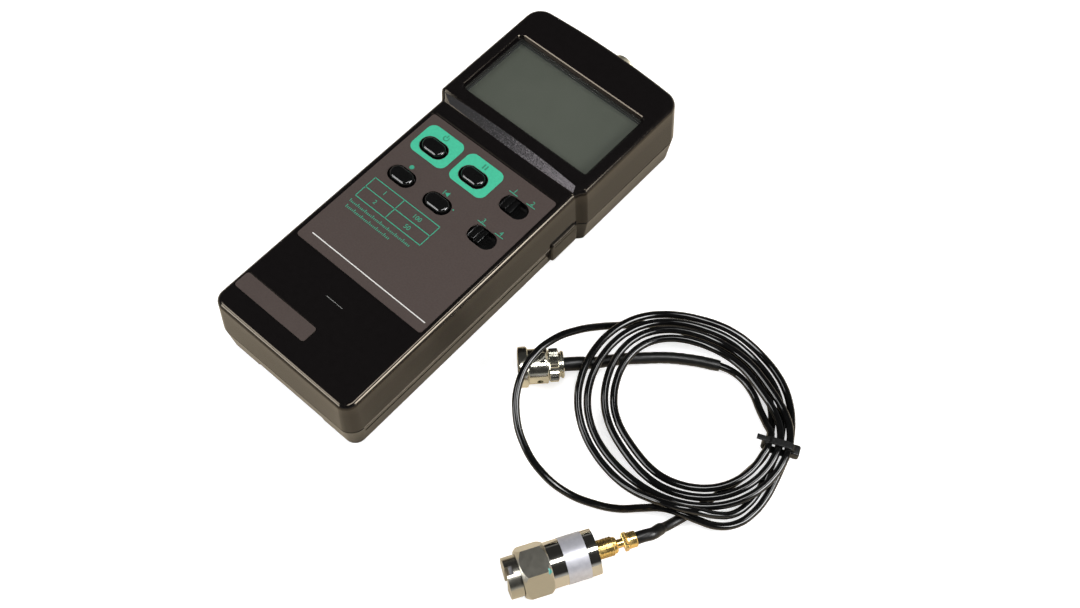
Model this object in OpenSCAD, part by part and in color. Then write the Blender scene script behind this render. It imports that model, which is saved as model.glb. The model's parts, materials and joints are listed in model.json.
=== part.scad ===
// Handheld vibration meter: case with display and keys, sensor on a magnetic
// base, and the tied cable with its bayonet plug. The origin is the centre of
// the case's back, +Z is up through the keys and +Y points to the socket end.

/* [Case] */
// Length of the case at the joint between its shells
case_l = 175; // [165:1:210]
// Width of the case beside the keys
body_w = 67.5; // [66:0.5:72]
// Distance by which the head stands out on each side
head_step = 2.75; // [2.3:0.05:11]
// Height of the key face above the back
face_h = 30; // [29:0.5:40]
// Rise from the key face to the head face
head_rise = 2; // [1.8:0.1:3]
// Length of the head from the socket end
head_l = 56.2; // [55:0.1:62]
// Height of the joint between the shells
split_h = 12.7; // [11:0.1:14]
// Wall of both shells
wall = 2.2; // [1.8:0.1:2.4]
// Corner radius beside the keys
body_corner_r = 6; // [5:0.5:9]
// Corner radius of the head
head_corner_r = 8; // [5:0.5:12]
// Rounding of the upper edges
edge_r = 2; // [1:0.1:2.5]
// Rounding of the back's edges
rear_edge_r = 1.2; // [0.5:0.1:1.6]
// Inward slope of the rear shell on each side
rear_taper = 1.7; // [0.5:0.1:2]
// Inward slope of the front shell on each side
front_taper = 0.9; // [0.3:0.1:1.2]
// Bow of the socket end
end_bow = 1.2; // [0.4:0.1:2]

/* [Display] */
// Margin from each side of the head to the window
window_side = 7; // [6.9:0.1:11]
// Height of the window along the case
window_l = 31.7; // [25:0.1:33]
// Thickness of the window pane
window_t = 1.2; // [0.8:0.1:1.5]
// Depth of the bevelled recess above the pane
recess_d = 1.4; // [0.8:0.1:1.6]
// Distance from the socket end to the window's centre
window_drop = 34.75; // [33:0.05:36]

/* [Keys] */
// Length of a key cap
key_l = 10; // [8:0.1:10.4]
// Width of a key cap
key_w = 6; // [5:0.1:6.4]
// Height of a key above the face
key_proud = 1.4; // [0.8:0.1:2]
// Travel of a key
key_travel = 0.7; // [0.3:0.1:0.9]
// Distance between the key columns
key_pitch = 19.4; // [18:0.1:20]
// Length of the holes for the keys and switches
hole_l = 11.7; // [11.5:0.1:12.5]
// Width of the holes for the keys and switches
hole_w = 7.4; // [7.2:0.1:8]
// Travel of the slide switches
slide_travel = 4; // [2:0.5:4.5]

/* [Label] */
// Width of the control label
label_w = 60.2; // [56:0.1:62]
// Distance from the foot end to the control label
label_foot = 38.5; // [30:0.5:48]
// Thickness of the label and the name plate
label_t = 0.3; // [0.2:0.1:0.5]
// Width of the name plate
plate_w = 34; // [20:0.5:50]
// Height of the name plate
plate_l = 6.6; // [5:0.1:10]

/* [Socket] */
// Radius of the socket's barrel
socket_r = 4.85; // [4.8:0.01:4.9]
// Length of the socket outside the case
socket_l = 8.6; // [8:0.1:12]
// Depth of the socket's axis below the key face
socket_drop = 16.4; // [15.4:0.1:17.4]

/* [Battery] */
// Length of the battery
battery_l = 46.5; // [44:0.5:48]
// Width of the battery
battery_w = 26.5; // [20:0.5:28]
// Thickness of the battery
battery_h = 17; // [12:0.5:17.5]

/* [Sensor] */
// Width of the hexagon across its flats
hex_w = 16; // [15.8:0.1:18]
// Length of the hexagon
hex_l = 9.9; // [9:0.1:14]
// Diameter of the sensor's round part
sensor_d = 15.4; // [14:0.1:15.6]
// Length of the sensor's round part
sensor_l = 16; // [15:0.1:20]
// Diameter of the magnetic base
magnet_d = 13.8; // [12:0.1:15]
// Length of the magnetic base
magnet_l = 4.5; // [4:0.1:8]
// Width of the band round the sensor
band_w = 7.7; // [5:0.1:10]
// Diameter of the knurled nut
nut_d = 6.5; // [6:0.1:8]
// Length of the knurled nut
nut_l = 7.2; // [6.5:0.1:9]

/* [Plug] */
// Diameter of the coupling ring
ring_d = 14.5; // [14:0.1:15]
// Length of the plug from its mouth to the clamp's end
plug_l = 16; // [15.5:0.1:20]

/* [Cable] */
// Diameter of the cable
cable_d = 2.7; // [2.2:0.1:2.7]
// Number of sides of the coiled cable
coil_sides = 6; // [6:1:8]
// Number of rings in each loop of the coil
loop_rings = 24; // [24:1:32]

/* [Hidden] */
$fn = 48;

// Colours
black = [0.05, 0.05, 0.05];
grey = [0.35, 0.32, 0.3];
silver = [0.75, 0.75, 0.77];
nickel = [0.72, 0.7, 0.64];
gold = [0.8, 0.63, 0.28];
rubber = [0.08, 0.08, 0.08];

// Overrun of a cut past the face that it leaves, and the usual clearances
cut = 1;
clear = 0.2;
run_clear = 0.05;
tiny = 0.01;

// Places that follow from the case
body_hw = body_w / 2;
head_hw = body_hw + head_step;
half_l = case_l / 2;
head_h = face_h + head_rise;
step_l = 4;
step_y = half_l - head_l;
slope_l = step_l;
slope_foot_y = step_y - slope_l;
plate_under = face_h - wall;
head_under = head_h - wall;
rear_inset = rear_taper + wall;
front_inset = front_taper + wall;
shell_gap = 0.2;
lip_h = 1.5;

// Display
window_w = 2 * (head_hw - window_side);
window_y = half_l - window_drop;
pane_top = head_h - recess_d;
pane_low = pane_top - window_t;
bevel = 1.2;
window_flange = 1.3;
flange_t = 0.8;
lcd_over = 1;
lcd_t = 2.4;
frame_wall = 1.6;
frame_lip = 1.1;
frame_top = head_under - flange_t - 2 * clear;
lcd_w = window_w + 2 * lcd_over;
lcd_l = window_l + 2 * lcd_over;
frame_w = lcd_w + 2 * clear + 2 * frame_wall;
frame_l = lcd_l + 2 * clear + 2 * frame_wall;
lcd_top = frame_top - frame_lip - clear;

// Battery and its door
door_side = 3;
door_w = battery_w + 2 * door_side;
door_t = wall - clear;
door_tongue = 1;
door_tongue_t = 0.8;
door_low_y = rear_taper + rear_edge_r - half_l;
battery_gap = 0.6;
battery_low_y = rear_inset + battery_gap - half_l;
battery_z = wall + battery_gap / 2;
snap_inset = 0.5;
battery_corner = 2;
stud_r = 3.6;
stud_h = 2.2;
stud_pitch = 12.7;
snap_t = 2.4;
snap_gap = 0.3;
lead_r = 0.7;
door_high_y = battery_low_y + battery_l + stud_h + snap_gap;
snap_back_y = door_high_y + snap_t;

// Board
board_t = 1.6;
board_drop = 9;
board_top = face_h - board_drop;
board_low = board_top - board_t;
board_side_gap = 1.2;
board_end_gap = 1.5;
board_hw = body_hw - front_inset - board_side_gap;
board_snap_gap = 0.6;
board_low_y = snap_back_y + board_snap_gap;
board_high_y = window_y + frame_l / 2 + board_end_gap;
strip_w = 2.2;
strip_inset = 1.4;

// Label and name plate
label_gap = 6.3;
label_l = slope_foot_y - label_gap + half_l - label_foot;
label_y = slope_foot_y - label_gap - label_l / 2;
label_corner = 1.2;
plate_corner = 1;
label_proud = 0.05;
plate_x = -14;
plate_foot = 13.4;
plate_y = plate_foot - half_l;

// Keys
key_row_share = 0.163;
row_pitch_share = 0.2386;
key_row_y = label_y + label_l * (0.5 - key_row_share);
low_row_y = key_row_y - label_l * row_pitch_share;
recall_shift = 1.9;
key_flange_over = 0.9;
key_flange_l = hole_l + 2 * key_flange_over;
key_flange_w = hole_w + 2 * key_flange_over;
key_flange_t = 1;
key_foot_d = 3;
key_foot = 0.7;
key_gap = 0.3;
key_stop_gap = 0.1;
key_flange_top = plate_under - key_gap;
key_flange_low = key_flange_top - key_flange_t;
key_low = key_flange_low - key_foot;
switch_top = key_low - key_travel - key_stop_gap;
switch_w = 6;
switch_h = 3.4;
switch_stem_r = 1.7;
key_places = [
    [-key_pitch, key_row_y],
    [0, key_row_y],
    [-key_pitch, low_row_y],
    [-recall_shift, low_row_y]
];

// Slide switches
slide_shift = 0.3;
slide_x = key_pitch + slide_shift;
slide_rows = [key_row_y, low_row_y];
knob_l = 5.6;
knob_w = 5.8;
knob_flange_l = hole_l + slide_travel + 2 * clear;
knob_flange_w = hole_w + 2 * key_flange_over;
knob_proud = 0.7;
knob_ridge = 0.6;
knob_ridge_w = 1.4;
slider_l = 13;
slider_w = 6.4;
slider_gap = 0.5;
slider_top = key_flange_low - slider_gap;
slider_slot_d = 1.9;
stem_l = 2.2;
stem_w = 1.6;
stem_h = 1.8;

// Screws that hold the shells, from the back
screw_x = 26.5;
head_screw_x = 28;
screw_end = 9.5;
screw_r = 1.35;
screw_head_r = 2.6;
screw_head_h = 2;
screw_grip = 3.6;
screw_l = 15;
post_r = 4.2;
front_post_r = 3.2;
screw_places = [
    [-screw_x, screw_end - half_l], [screw_x, screw_end - half_l],
    [-head_screw_x, half_l - screw_end - end_bow], [head_screw_x, half_l - screw_end - end_bow]
];

// Screws that hold the board
board_screw_r = 0.95;
board_screw_head_r = 1.9;
board_screw_head_h = 1.4;
board_screw_l = 6;
board_post_r = 2.5;
board_screw_side = 3.45;
board_screw_x = board_hw - board_screw_side;
board_screw_end = 4;
board_screw_drop = 1.5;
board_screw_places = [
    [-board_screw_x, board_low_y + board_screw_end], [board_screw_x, board_low_y + board_screw_end],
    [-board_screw_x, slope_foot_y - board_screw_drop], [board_screw_x, slope_foot_y - board_screw_drop]
];

// Socket on the end
socket_h = face_h - socket_drop;
socket_bore_r = 4.1;
socket_flange_r = 6.6;
socket_flange_t = 1.6;
socket_neck_r = 4.6;
seat_d = 0.6;
seat_y = half_l - seat_d;
seat_r = socket_flange_r + 2 * clear;
inner_end_y = half_l - front_inset;
washer_t = 0.6;
washer_r = 6.4;
socket_nut_t = 2.4;
socket_nut_r = 6.6;
socket_neck_l = 5;
lug_r = 0.95;
lug_out = 0.85;
lug_back = 4.6;
insulator_r = 2.4;
contact_r = 0.9;
contact_bore_r = 0.5;
contact_tail = 3;

// Jack in the right side and its cover
jack_gap = 6.8;
jack_y = slope_foot_y - jack_gap;
jack_h = 9.2;
jack_nose_r = 3;
jack_bore_r = 1.8;
jack_body = 9;
jack_body_l = 9.5;
jack_bore_l = 11;
cover_w = 14;
cover_top_h = 14.5;
cover_axis_h = 4.9;
cover_r = 0.9;
cover_t = 2.4;
pad_d = 1.35;
pad_x = body_hw - pad_d;

// Parts of the board
chip_w = 14;
chip_t = 2;

// Grooves along both sides of the rear shell
groove_h = 9.2;
groove_w = 1.2;
groove_d = 1.1;
groove_foot = 6.5;
groove_cover_gap = 1.5;
groove_low_y = groove_foot - half_l;
groove_high_y = jack_y - cover_w / 2 - groove_cover_gap;

// Sensor. It lies on a flat of its hexagon with its base towards the front.
sensor_turn = 59.6;
sensor_x = 103.8;
sensor_y = -87.9;
sensor_h = hex_w / 2;
hex_low = magnet_l;
hex_top = hex_low + hex_l;
sensor_top = hex_top + sensor_l;
sensor_r = sensor_d / 2;
hex_r = hex_w / sqrt(3);
hex_face_share = 0.485;
hex_face_r = hex_w * hex_face_share;
hex_chamfer = 1.7;
sensor_cap_t = 2;
cavity_r = 5.6;
cavity_floor = 8;
cavity_low = hex_low + cavity_floor;
band_t = 0.12;
band_gap = 0.02;
band_start = 4.8;
magnet_slot_w = 3;
magnet_slot_d = 2.4;
magnet_core_t = 1.2;
stud_shaft_r = 2.4;
stud_shaft_l = 6;
piezo_r = 4.2;
piezo_hole_r = 1.7;
piezo_t = 2.6;
mass_r = 4.9;
mass_l = 6.5;
preload_r = 1.5;
preload_head_r = 2.8;
preload_head_t = 1.6;
pole_gap = 0.15;

// Connector of the lead on the sensor
nut_r = nut_d / 2;
thread_r = 2.3;
thread_l = 3.4;
nut_gap = 0.15;
nut_low = sensor_top + nut_gap;
nut_top = nut_low + nut_l;
nut_lip = 1.3;
neck_r = 1.5;
neck_l = 2.3;
ferrule_head_r = 2.25;
ferrule_head_l = 1.4;
collar_low = nut_top + neck_l;
collar_r = 3.25;
collar_l = 1.5;
collar_tail_r = 2.75;
collar_tail_l = 3;
ferrule_top = collar_low + collar_l + collar_tail_l;

// Plug
plug_turn = 46;
plug_x = 55.3;
plug_y = -28.2;
ring_r = ring_d / 2;
ring_flange_l = 3.4;
ring_step = 1;
ring_body_r = ring_r - ring_step;
ring_l = 10.4;
ring_bore_r = 5.2;
barrel_r = 3.95;
barrel_bore_r = 3.45;
barrel_low = 1.2;
collar_gap = 0.2;
ring_gap = 0.08;
barrel_back_l = 1.8;
barrel_back_r = ring_bore_r - ring_gap;
barrel_back_low = ring_l - barrel_back_l;
clamp_r = 5.6;
clamp_end_r = 4.4;
clamp_end_l = 1.6;
clamp_low = ring_l + collar_gap;
pin_r = 0.65;
pin_low = 2.4;
plug_insulator_low = 4.5;
cam_slot_w = 2.2;
cam_hole_at = 7.4;
ear_drop = 0.35;
ear_r = ring_r - ear_drop;
ear_w = 4;
ear_l = 3;

// Cable: the coil starts and ends at the tie and turns clockwise from above
cable_r = cable_d / 2;
coil_x = 112;
coil_y = -3;
coil_turn = 23;
loops = 5;
lane_step = 3.35;
layer_step = 3.35;
low_h = 1.4;
tie_lift = 1.1;
tie_lift_share = 0.09;
// Where in a turn a loop changes its lane or layer: the start and the length
lane_out_shares = [0.02, 0.14];
lane_back_shares = [0.58, 0.18];
lane_home_shares = [0.86, 0.14];
layer_up_shares = [0.12, 0.09];
layer_down_shares = [0.74, 0.12];
// Radius of the innermost loop at each eighth of a turn from the tie
inner_radii = [28.4, 26.8, 24, 22.4, 27.2, 31.2, 29.2, 27.6];
// Lanes counted outwards and layers counted upwards, at the tie and beyond it
tie_lanes = [-0.1, 1, 2, 1, 2, -0.1];
loop_lanes = [0, 1, 2, 3, 4];
last_lanes = [0, 1, 2, 3, 1];
tie_layers = [1, 1, 1, 0, 0, 0];
loop_layers = [1, 1, 1, 1, 0];
// Outward bow of each loop on the side of the plug, and its rise over the plug
bow_out = [0, 0, 3, 3, 21.5];
bow_at_share = 0.4375;
bow_half_share = 0.1875;
sleeve_rise = [3.4, 4.4, 5.2, 6.2, 16];
sleeve_at_shares = [0.60, 0.59, 0.565, 0.55, 0.50];
sleeve_half_shares = [0.2, 0.2, 0.2, 0.2, 0.15];
// Rise of each loop over the run to the sensor, and the pull that tucks it in
cross_rise = [0, 0, 0.4, 5, 4.6];
cross_at_shares = [0.215, 0.215, 0.215, 0.225, 0.225];
cross_half_shares = [0.1, 0.1, 0.1, 0.11, 0.1];
tuck_in = [0, 0, 0, 0, 3.2];
tuck_at_share = 0.235;
tuck_half_share = 0.085;

// Routes of the cable outside the coil, chosen by hand
plug_route = [
    [69.9, -13.1, 7.1], [74.4, -7.6, 5.9], [79, -0.8, 4.4], [84, 5, 3.2], [91, 12, 2.4],
    [99, 17.6, 2.2], [106.6, 21.6, 2.2]
];
plug_end_route = [
    [106.6, 21.6, 2.2], [113.5, 23, 1.9], [121, 21.2, 1.9], [128, 16.9, 2.4], [133, 13.4, 4.4]
];
sensor_end_route = [[138.6, -4, 1.8], [136.6, -14.5, 1.7], [134.6, -22, 1.7], [133.2, -28, 1.9]];
sensor_route = [[133.2, -28, 1.9], [131.8, -32.5, 2], [130.6, -37, 3], [129.6, -41, 5]];
sleeve_d = 4.2;
sleeve_root_d = 5;
sleeve_root_l = 8;
sleeve_thin_d = 3.4;
straight_l = 3;
tip_gap = 0.4;
tube_sides = 8;

// Cable tie
tie_w = 2.5;
tie_t = 0.9;
tie_clear = 0.15;
tie_corner = 1.2;
tie_head = 3.4;
tie_head_w = 4;
tail_r = 1.1;
tail_l = 3.6;

// Shapes of the case

function ease(x) = let (c = min(1, max(0, x))) c * c * (3 - 2 * c);

// Right half of the case's outline from the foot to the socket end, moved in by i
function right_edge(i) = concat(
    [for (a = [-90 : 15 : 0]) [
        body_hw - body_corner_r + max(body_corner_r - i, tiny) * cos(a),
        body_corner_r - half_l + max(body_corner_r - i, tiny) * sin(a)
    ]],
    [for (s = [0 : 0.125 : 1]) [
        body_hw + (head_hw - body_hw) * ease(s) - i,
        slope_foot_y + step_l * s
    ]],
    [for (a = [0 : 15 : 75]) [
        head_hw - head_corner_r + max(head_corner_r - i, tiny) * cos(a),
        half_l - end_bow - head_corner_r + max(head_corner_r - i, tiny) * sin(a)
    ]],
    [for (s = [1 : -0.16 : 0.1]) [
        (head_hw - head_corner_r) * s,
        half_l - end_bow * s * s - i
    ]]
);

function outline(i) = let (e = right_edge(i))
    concat(e, [for (k = [len(e) - 1 : -1 : 0]) [-e[k][0], e[k][1]]]);

// Height of the front shell's skin at y
function skin_h(y) = face_h + head_rise * min(1, max(0, (y - slope_foot_y) / slope_l));

front_rings = concat(
    [[for (p = outline(0)) [p[0], p[1], split_h]]],
    [for (a = [0 : 30 : 90])
        [for (p = outline(front_taper + edge_r * (1 - cos(a))))
            [p[0], p[1], skin_h(p[1]) - edge_r * (1 - sin(a))]]]
);

rear_rings = concat(
    [for (a = [0 : 30 : 90])
        let (h = rear_edge_r * (1 - cos(a)))
        [for (p = outline(rear_taper * (1 - h / split_h) + rear_edge_r * (1 - sin(a))))
            [p[0], p[1], h]]],
    [[for (p = outline(0)) [p[0], p[1], split_h - shell_gap]]]
);

// Solid between rings of equal outline, closed by strips from side to side
module loft(rings) {
    n = len(rings[0]);
    last = len(rings) - 1;
    half = n / 2;
    sides = [for (k = [0 : last - 1], j = [0 : n - 1])
        let (a = k * n + j, b = k * n + (j + 1) % n)
        each [[a, a + n, b + n], [a, b + n, b]]];
    low = [for (j = [0 : half - 2])
        each [[j, j + 1, n - 2 - j], [j, n - 2 - j, n - 1 - j]]];
    high = [for (f = low) [f[2] + last * n, f[1] + last * n, f[0] + last * n]];
    polyhedron([for (r = rings) each r], concat(sides, low, high));
}

// Plate centred on its place with rounded corners
module round_plate(w, l, r, h) {
    linear_extrude(h) {
        square([w - 2 * r, l], center = true);
        square([w, l - 2 * r], center = true);
        for (sx = [-1, 1], sy = [-1, 1])
            translate([sx * (w / 2 - r), sy * (l / 2 - r)]) circle(r);
    }
}

// Bar with round ends, lying along X
module bar(l, w, h) {
    linear_extrude(h) {
        square([l - w, w], center = true);
        for (s = [-1, 1]) translate([s * (l - w) / 2, 0]) circle(w / 2);
    }
}

module box(w, l, h) {
    translate([-w / 2, -l / 2, 0]) cube([w, l, h]);
}

module tube(r_out, r_in, h) {
    difference() {
        cylinder(h = h, r = r_out);
        translate([0, 0, -cut]) cylinder(h = h + 2 * cut, r = r_in);
    }
}

module at_each(places) {
    for (p = places) translate([p[0], p[1], 0]) children();
}

// Holes through the face for the keys and the slide switches
module face_holes(low, h) {
    translate([0, 0, low]) {
        at_each(key_places) bar(hole_l, hole_w, h);
        at_each([for (y = slide_rows) [slide_x, y]]) bar(hole_l, hole_w, h);
    }
}

// Turns local +Z to the socket's direction, +Y
module on_socket(y) {
    translate([0, y, socket_h]) rotate([-90, 0, 0]) children();
}

// Turns local +Z along +X at the jack
module on_jack(x) {
    translate([x, jack_y, jack_h]) rotate([0, 90, 0]) children();
}

// Flat inside the end for the socket's washer and nut
module washer_seat() {
    on_socket(inner_end_y - washer_t - socket_nut_t - cut)
        cylinder(h = washer_t + socket_nut_t + cut, r = socket_nut_r + 2 * clear);
}

// Pocket in the side where the jack's cover lies
module cover_pocket() {
    translate([pad_x, jack_y - cover_w / 2 - clear, cover_axis_h - cover_r - 2 * clear])
        cube([wall + cut, cover_w + 2 * clear, cover_top_h - cover_axis_h + cover_r + 3 * clear]);
}

module front_shell() {
    color(black) difference() {
        union() {
            difference() {
                loft(front_rings);
                translate([0, 0, split_h - cut])
                    linear_extrude(plate_under - split_h + cut) polygon(outline(front_inset));
                translate([0, window_y, plate_under - cut])
                    box(frame_w + 2 * clear, frame_l + 2 * clear, head_under - plate_under + cut);
            }
            translate([0, 0, split_h]) at_each(screw_places)
                cylinder(h = plate_under - split_h + wall / 2, r = front_post_r);
            translate([0, 0, board_top]) at_each(board_screw_places)
                cylinder(h = plate_under - board_top + wall / 2, r = board_post_r);
        }
        translate([0, 0, split_h - cut]) at_each(screw_places)
            cylinder(h = screw_l - screw_grip, r = screw_r + run_clear);
        translate([0, 0, board_top - cut]) at_each(board_screw_places)
            cylinder(h = board_screw_l - board_t + cut, r = board_screw_r + run_clear);
        translate([0, window_y, pane_low - window_t])
            box(window_w + 2 * clear, window_l + 2 * clear, recess_d + 2 * window_t);
        window_bevel();
        face_holes(plate_under - cut, wall + 2 * cut);
        translate([0, label_y, face_h - label_t + label_proud])
            round_plate(label_w + clear, label_l + clear, label_corner, label_t + cut);
        translate([plate_x, plate_y, face_h - label_t + label_proud])
            round_plate(plate_w + clear, plate_l + clear, plate_corner, label_t + cut);
        slope_cut();
        on_socket(inner_end_y - cut) cylinder(h = wall + 2 * cut, r = socket_neck_r + clear);
        on_socket(seat_y) cylinder(h = cut, r = seat_r);
        washer_seat();
        cover_pocket();
    }
}

// Bevel from the head's face down to the pane
module window_bevel() {
    translate([0, window_y, 0]) hull() {
        translate([0, 0, pane_top])
            box(window_w + 2 * clear, window_l + 2 * clear, tiny);
        translate([0, 0, head_h + tiny])
            box(window_w + 2 * bevel, window_l + 2 * bevel, tiny);
    }
}

// Thin trim let into the slope between the key face and the head
trim_t = 0.35;
trim_sink = 0.3;
trim_side = 3;
trim_end = 0.2;
trim_hw = body_hw - trim_side;
slope_len = sqrt(slope_l * slope_l + head_rise * head_rise);

// Turns local X to the case's X and local Y up the slope
module on_slope() {
    translate([0, slope_foot_y, face_h]) rotate([atan(head_rise / slope_l), 0, 0]) children();
}

module slope_cut() {
    on_slope() translate([-trim_hw - clear / 2, trim_end, -trim_sink])
        cube([2 * trim_hw + clear, slope_len - 2 * trim_end, trim_sink + cut]);
}

module trim_band() {
    color(silver) on_slope() translate([-trim_hw, trim_end + clear / 2, -trim_sink])
        cube([2 * trim_hw, slope_len - 2 * trim_end - clear, trim_t]);
}

module rear_shell() {
    color(black) difference() {
        union() {
            difference() {
                union() {
                    loft(rear_rings);
                    translate([0, 0, split_h / 2])
                        linear_extrude(split_h / 2 + lip_h) polygon(outline(front_inset + clear));
                }
                translate([0, 0, wall]) linear_extrude(split_h + lip_h) polygon(outline(rear_inset));
            }
            translate([0, 0, wall / 2]) at_each(screw_places)
                cylinder(h = split_h - shell_gap - wall / 2, r = post_r);
        }
        translate([0, 0, -cut]) at_each(screw_places) {
            cylinder(h = screw_grip + cut, r = screw_head_r + clear);
            cylinder(h = split_h + lip_h + 2 * cut, r = screw_r + clear);
        }
        translate([0, 0, split_h - shell_gap]) at_each(screw_places)
            cylinder(h = lip_h + cut, r = post_r + clear);
        translate([0, (door_high_y - half_l) / 2, -cut])
            box(door_w + 2 * clear, door_high_y + half_l + 2 * clear, wall + 2 * cut);
        translate([0, (door_high_y - half_l) / 2, (door_t - door_tongue_t) / 2 - clear / 2])
            box(
                door_w + 2 * door_tongue + 2 * clear,
                door_high_y + half_l + 2 * clear,
                door_tongue_t + clear
            );
        on_socket(inner_end_y - cut) cylinder(h = wall + 2 * cut, r = socket_neck_r + clear);
        washer_seat();
        on_socket(seat_y) cylinder(h = cut, r = seat_r);
        on_jack(pad_x - wall - cut) cylinder(h = wall + 2 * cut, r = jack_nose_r + clear);
        cover_pocket();
        for (s = [-1, 1])
            translate([s * body_hw, (groove_low_y + groove_high_y) / 2, groove_h - groove_w / 2])
                box(2 * groove_d, groove_high_y - groove_low_y, groove_w);
    }
}

module battery_door() {
    color(black) {
        difference() {
            translate([0, (door_high_y + door_low_y) / 2, 0])
                box(door_w, door_high_y - door_low_y, door_t);
            for (k = [1 : 4]) translate([0, door_low_y + k * door_t * 2, -cut])
                box(door_w / 2, door_t / 2, cut + door_t / 4);
        }
        translate([0, (door_high_y + door_low_y) / 2, (door_t - door_tongue_t) / 2])
            box(door_w + 2 * door_tongue, door_high_y - door_low_y, door_tongue_t);
    }
}

// Display

module display_window() {
    color([0.6, 0.65, 0.6, 0.5]) translate([0, window_y, 0]) {
        translate([0, 0, pane_low]) box(window_w, window_l, window_t);
        translate([0, 0, head_under - flange_t - clear])
            box(window_w + 2 * window_flange, window_l + 2 * window_flange, flange_t);
    }
}

module lcd_glass() {
    color([0.5, 0.55, 0.48]) translate([0, window_y, lcd_top - lcd_t]) box(lcd_w, lcd_l, lcd_t);
}

module lcd_frame() {
    color(black) translate([0, window_y, board_top]) difference() {
        box(frame_w, frame_l, frame_top - board_top);
        translate([0, 0, -cut])
            box(lcd_w + 2 * clear, lcd_l + 2 * clear, lcd_top + clear - board_top + cut);
        box(window_w, window_l, frame_top - board_top + cut);
    }
}

module zebra_strips() {
    color([0.85, 0.45, 0.5]) for (s = [-1, 1])
        translate([0, window_y + s * (lcd_l / 2 - strip_inset), board_top])
            box(lcd_w - 2 * strip_w, strip_w, lcd_top - lcd_t - board_top);
}

// Label and name plate

module control_label() {
    color(grey) difference() {
        translate([0, label_y, face_h + label_proud - label_t])
            round_plate(label_w, label_l, label_corner, label_t);
        face_holes(face_h - cut, 2 * cut);
    }
}

module name_plate() {
    color(grey) translate([plate_x, plate_y, face_h + label_proud - label_t])
        round_plate(plate_w, plate_l, plate_corner, label_t);
}

// Keys and switches

module key(place) {
    color(black) translate([place[0], place[1], 0]) {
        translate([0, 0, key_flange_low]) bar(key_l, key_w, face_h + key_proud - key_flange_low);
        translate([0, 0, key_flange_low]) bar(key_flange_l, key_flange_w, key_flange_t);
        translate([0, 0, key_low]) cylinder(h = key_foot + key_flange_t / 2, r = key_foot_d / 2);
    }
}

module power_button() key(key_places[0]);
module hold_button() key(key_places[1]);
module record_button() key(key_places[2]);
module recall_button() key(key_places[3]);

module button_switches() {
    color(silver) at_each(key_places) {
        translate([0, 0, board_top]) box(switch_w, switch_w, switch_h);
        translate([0, 0, board_top + switch_h / 2])
            cylinder(h = switch_top - board_top - switch_h / 2, r = switch_stem_r);
    }
}

module knob(y) {
    color(black) translate([slide_x - slide_travel / 2, y, 0]) {
        translate([0, 0, key_flange_low])
            round_plate(knob_l, knob_w, knob_ridge, face_h + knob_proud - key_flange_low);
        translate([0, 0, key_flange_low]) box(knob_flange_l, knob_flange_w, key_flange_t);
        translate([0, 0, face_h]) box(knob_ridge_w, knob_w - knob_ridge, knob_proud + knob_ridge);
        translate([0, 0, key_flange_low - stem_h - clear])
            box(stem_l, stem_w, stem_h + clear + key_flange_t / 2);
    }
}

module detector_knob() knob(slide_rows[0]);
module function_knob() knob(slide_rows[1]);

module slide_switches() {
    color(silver) for (y = slide_rows) translate([slide_x, y, board_top]) difference() {
        box(slider_l, slider_w, slider_top - board_top);
        translate([0, 0, slider_top - board_top - slider_slot_d])
            box(slide_travel + stem_l + 2 * clear, stem_w + 2 * clear, slider_slot_d + cut);
    }
}

// Board and what it carries

module main_board() {
    color([0.1, 0.35, 0.2]) difference() {
        translate([0, (board_high_y + board_low_y) / 2, board_low])
            box(2 * board_hw, board_high_y - board_low_y, board_t);
        translate([0, 0, board_low - cut]) at_each(board_screw_places)
            cylinder(h = board_t + 2 * cut, r = board_screw_r + clear);
    }
}

module processor_chip() {
    color([0.12, 0.12, 0.13]) translate([0, window_y - chip_w / 2, board_low - chip_t])
        box(chip_w, chip_w, chip_t);
}

module board_parts() {
    color([0.4, 0.4, 0.42]) {
        for (k = [0 : 2]) translate([chip_w * (k - 1.5), slope_foot_y - chip_w / 2, board_low - chip_t])
            box(chip_w / 2, chip_w / 3, chip_t);
        for (k = [0 : 2])
            translate([-chip_w * (1 + k / 3), low_row_y - chip_w / 2, board_low - 3 * chip_t])
                cylinder(h = 3 * chip_t, r = chip_t);
        for (k = [0 : 4])
            translate([chip_w * (k - 2) / 2, board_low_y + chip_w * 2 / 3, board_low - chip_t / 2])
                box(chip_t, chip_t / 2, chip_t / 2);
        translate([chip_w * 1.3, low_row_y - chip_w / 2, board_low - 1.5 * chip_t])
            box(chip_w / 2, chip_w, 1.5 * chip_t);
    }
}

module board_screws() {
    color(silver) at_each(board_screw_places) {
        translate([0, 0, board_low - board_screw_head_h])
            cylinder(h = board_screw_head_h, r = board_screw_head_r);
        translate([0, 0, board_low - board_screw_head_h / 2])
            cylinder(h = board_screw_l + board_screw_head_h / 2 - clear, r = board_screw_r);
    }
}

module case_screws() {
    color(silver) at_each(screw_places) difference() {
        union() {
            translate([0, 0, screw_grip - screw_head_h]) cylinder(h = screw_head_h, r = screw_head_r);
            translate([0, 0, screw_grip - screw_head_h / 2])
                cylinder(h = screw_l - screw_grip + screw_head_h / 2, r = screw_r);
        }
        for (a = [0, 90]) rotate([0, 0, a]) translate([0, 0, screw_grip - screw_head_h - cut])
            box(screw_head_r * 1.3, screw_r / 2, cut + screw_head_h / 2);
    }
}

// Socket

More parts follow.
